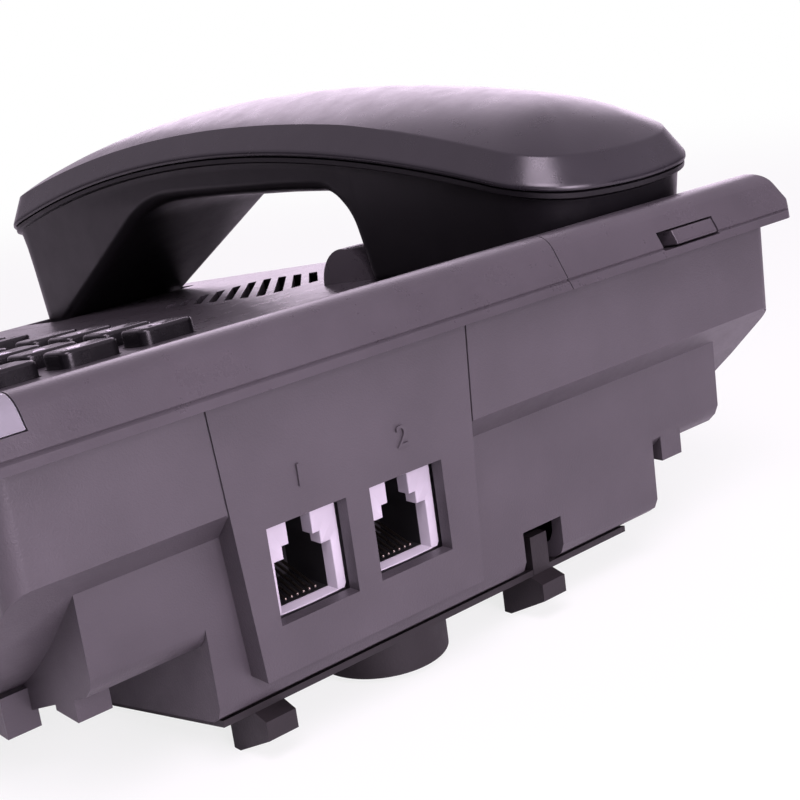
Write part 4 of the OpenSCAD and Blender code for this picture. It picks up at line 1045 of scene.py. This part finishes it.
def white_surround():
    """A white backdrop for the camera. Glossy and clear surfaces see it white behind the telephone and
    overhead, and dim elsewhere."""
    world = bpy.data.worlds.new("white_surround")
    world.use_nodes = True
    tree = world.node_tree
    tree.nodes.clear()
    way = node(tree, "ShaderNodeTexCoord").outputs["Generated"]
    behind = node(tree, "ShaderNodeVectorMath", {0: way, 1: BACKDROP}, operation="DOT_PRODUCT").outputs["Value"]
    above = node(tree, "ShaderNodeSeparateXYZ", {0: way}).outputs["Z"]
    sides = []
    for value, (low, high) in ((behind, BEHIND_RANGE), (above, ABOVE_RANGE)):
        inputs = {"Value": value, "From Min": low, "From Max": high}
        sides.append(node(tree, "ShaderNodeMapRange", inputs, interpolation_type="SMOOTHSTEP").outputs[0])
    lit = node(tree, "ShaderNodeMath", dict(enumerate(sides)), operation="MAXIMUM").outputs[0]
    mirrored = node(tree, "ShaderNodeMapRange", {"Value": lit, "To Min": DIM, "To Max": 1.0}).outputs[0]
    rays = node(tree, "ShaderNodeLightPath").outputs
    inputs = {0: rays["Is Glossy Ray"], 1: rays["Is Transmission Ray"]}
    glossy = node(tree, "ShaderNodeMath", inputs, operation="MAXIMUM").outputs[0]
    camera = rays["Is Camera Ray"]
    level = node(tree, "ShaderNodeMix", {0: glossy, 2: FILL, 3: mirrored}).outputs[0]
    level = node(tree, "ShaderNodeMix", {0: camera, 2: level, 3: 1.0}).outputs[0]
    inputs = {0: camera, 6: (*STUDIO_TINT, 1.0), 7: WHITE}
    tint = node(tree, "ShaderNodeMix", inputs, data_type="RGBA").outputs[2]
    sky = node(tree, "ShaderNodeBackground", {"Color": tint, "Strength": level})
    node(tree, "ShaderNodeOutputWorld", {"Surface": sky.outputs[0]})
    return world


class TELEPHONE_OT_stage(bpy.types.Operator):
    """Sets the camera, the pale floor, the white surround and the softboxes"""

    bl_idname = "telephone.stage"
    bl_label = "Stage"

    def execute(self, context):
        scene = context.scene
        scene.view_settings.view_transform = "Standard"
        camera = bpy.data.cameras.new("camera")
        camera.lens, camera.sensor_width, camera.clip_start = CAMERA_LENS, CAMERA_SENSOR, CAMERA_NEAR
        scene.camera = in_scene("camera", camera)
        scene.camera.matrix_world = stance(CAMERA_RIGHT, CAMERA_UP, CAMERA_BACK, CAMERA_PLACE)

        mesh = bpy.data.meshes.new("floor")
        corners = np.array([(-1, -1, 0), (1, -1, 0), (1, 1, 0), (-1, 1, 0)]) * FLOOR_REACH
        mesh.from_pydata(corners.tolist(), [], [(0, 1, 2, 3)])
        floor = in_scene("floor", mesh)
        mesh.materials.append(white_floor())
        scene.world = white_surround()
        for lamp in LAMPS:
            soft_lamp(*lamp)
        return {"FINISHED"}


STEPS = (
    TELEPHONE_OT_finishes,
    TELEPHONE_OT_housing,
    TELEPHONE_OT_handset,
    TELEPHONE_OT_keys,
    TELEPHONE_OT_sockets,
    TELEPHONE_OT_stage,
)


class TELEPHONE_PT_panel(bpy.types.Panel):
    """Lists the build steps and their sizes"""

    bl_label = "Telephone"
    bl_idname = "TELEPHONE_PT_panel"
    bl_space_type = "VIEW_3D"
    bl_region_type = "UI"
    bl_category = "Telephone"

    def draw(self, context):
        for step in STEPS:
            self.layout.operator(step.bl_idname)
        for name in GROUPS:
            group = getattr(context.scene, name)
            for key in group.__annotations__:
                self.layout.prop(group, key)


CLASSES = (*GROUPS.values(), *STEPS, TELEPHONE_PT_panel)


def register():
    for kind in CLASSES:
        bpy.utils.register_class(kind)
    for name, kind in GROUPS.items():
        setattr(bpy.types.Scene, name, bpy.props.PointerProperty(type=kind))


def unregister():
    for name in GROUPS:
        delattr(bpy.types.Scene, name)
    for kind in reversed(CLASSES):
        bpy.utils.unregister_class(kind)


def main():
    register()
    for step in STEPS:
        group, name = step.bl_idname.split(".")
        getattr(getattr(bpy.ops, group), name)()


if __name__ == "__main__":
    main()
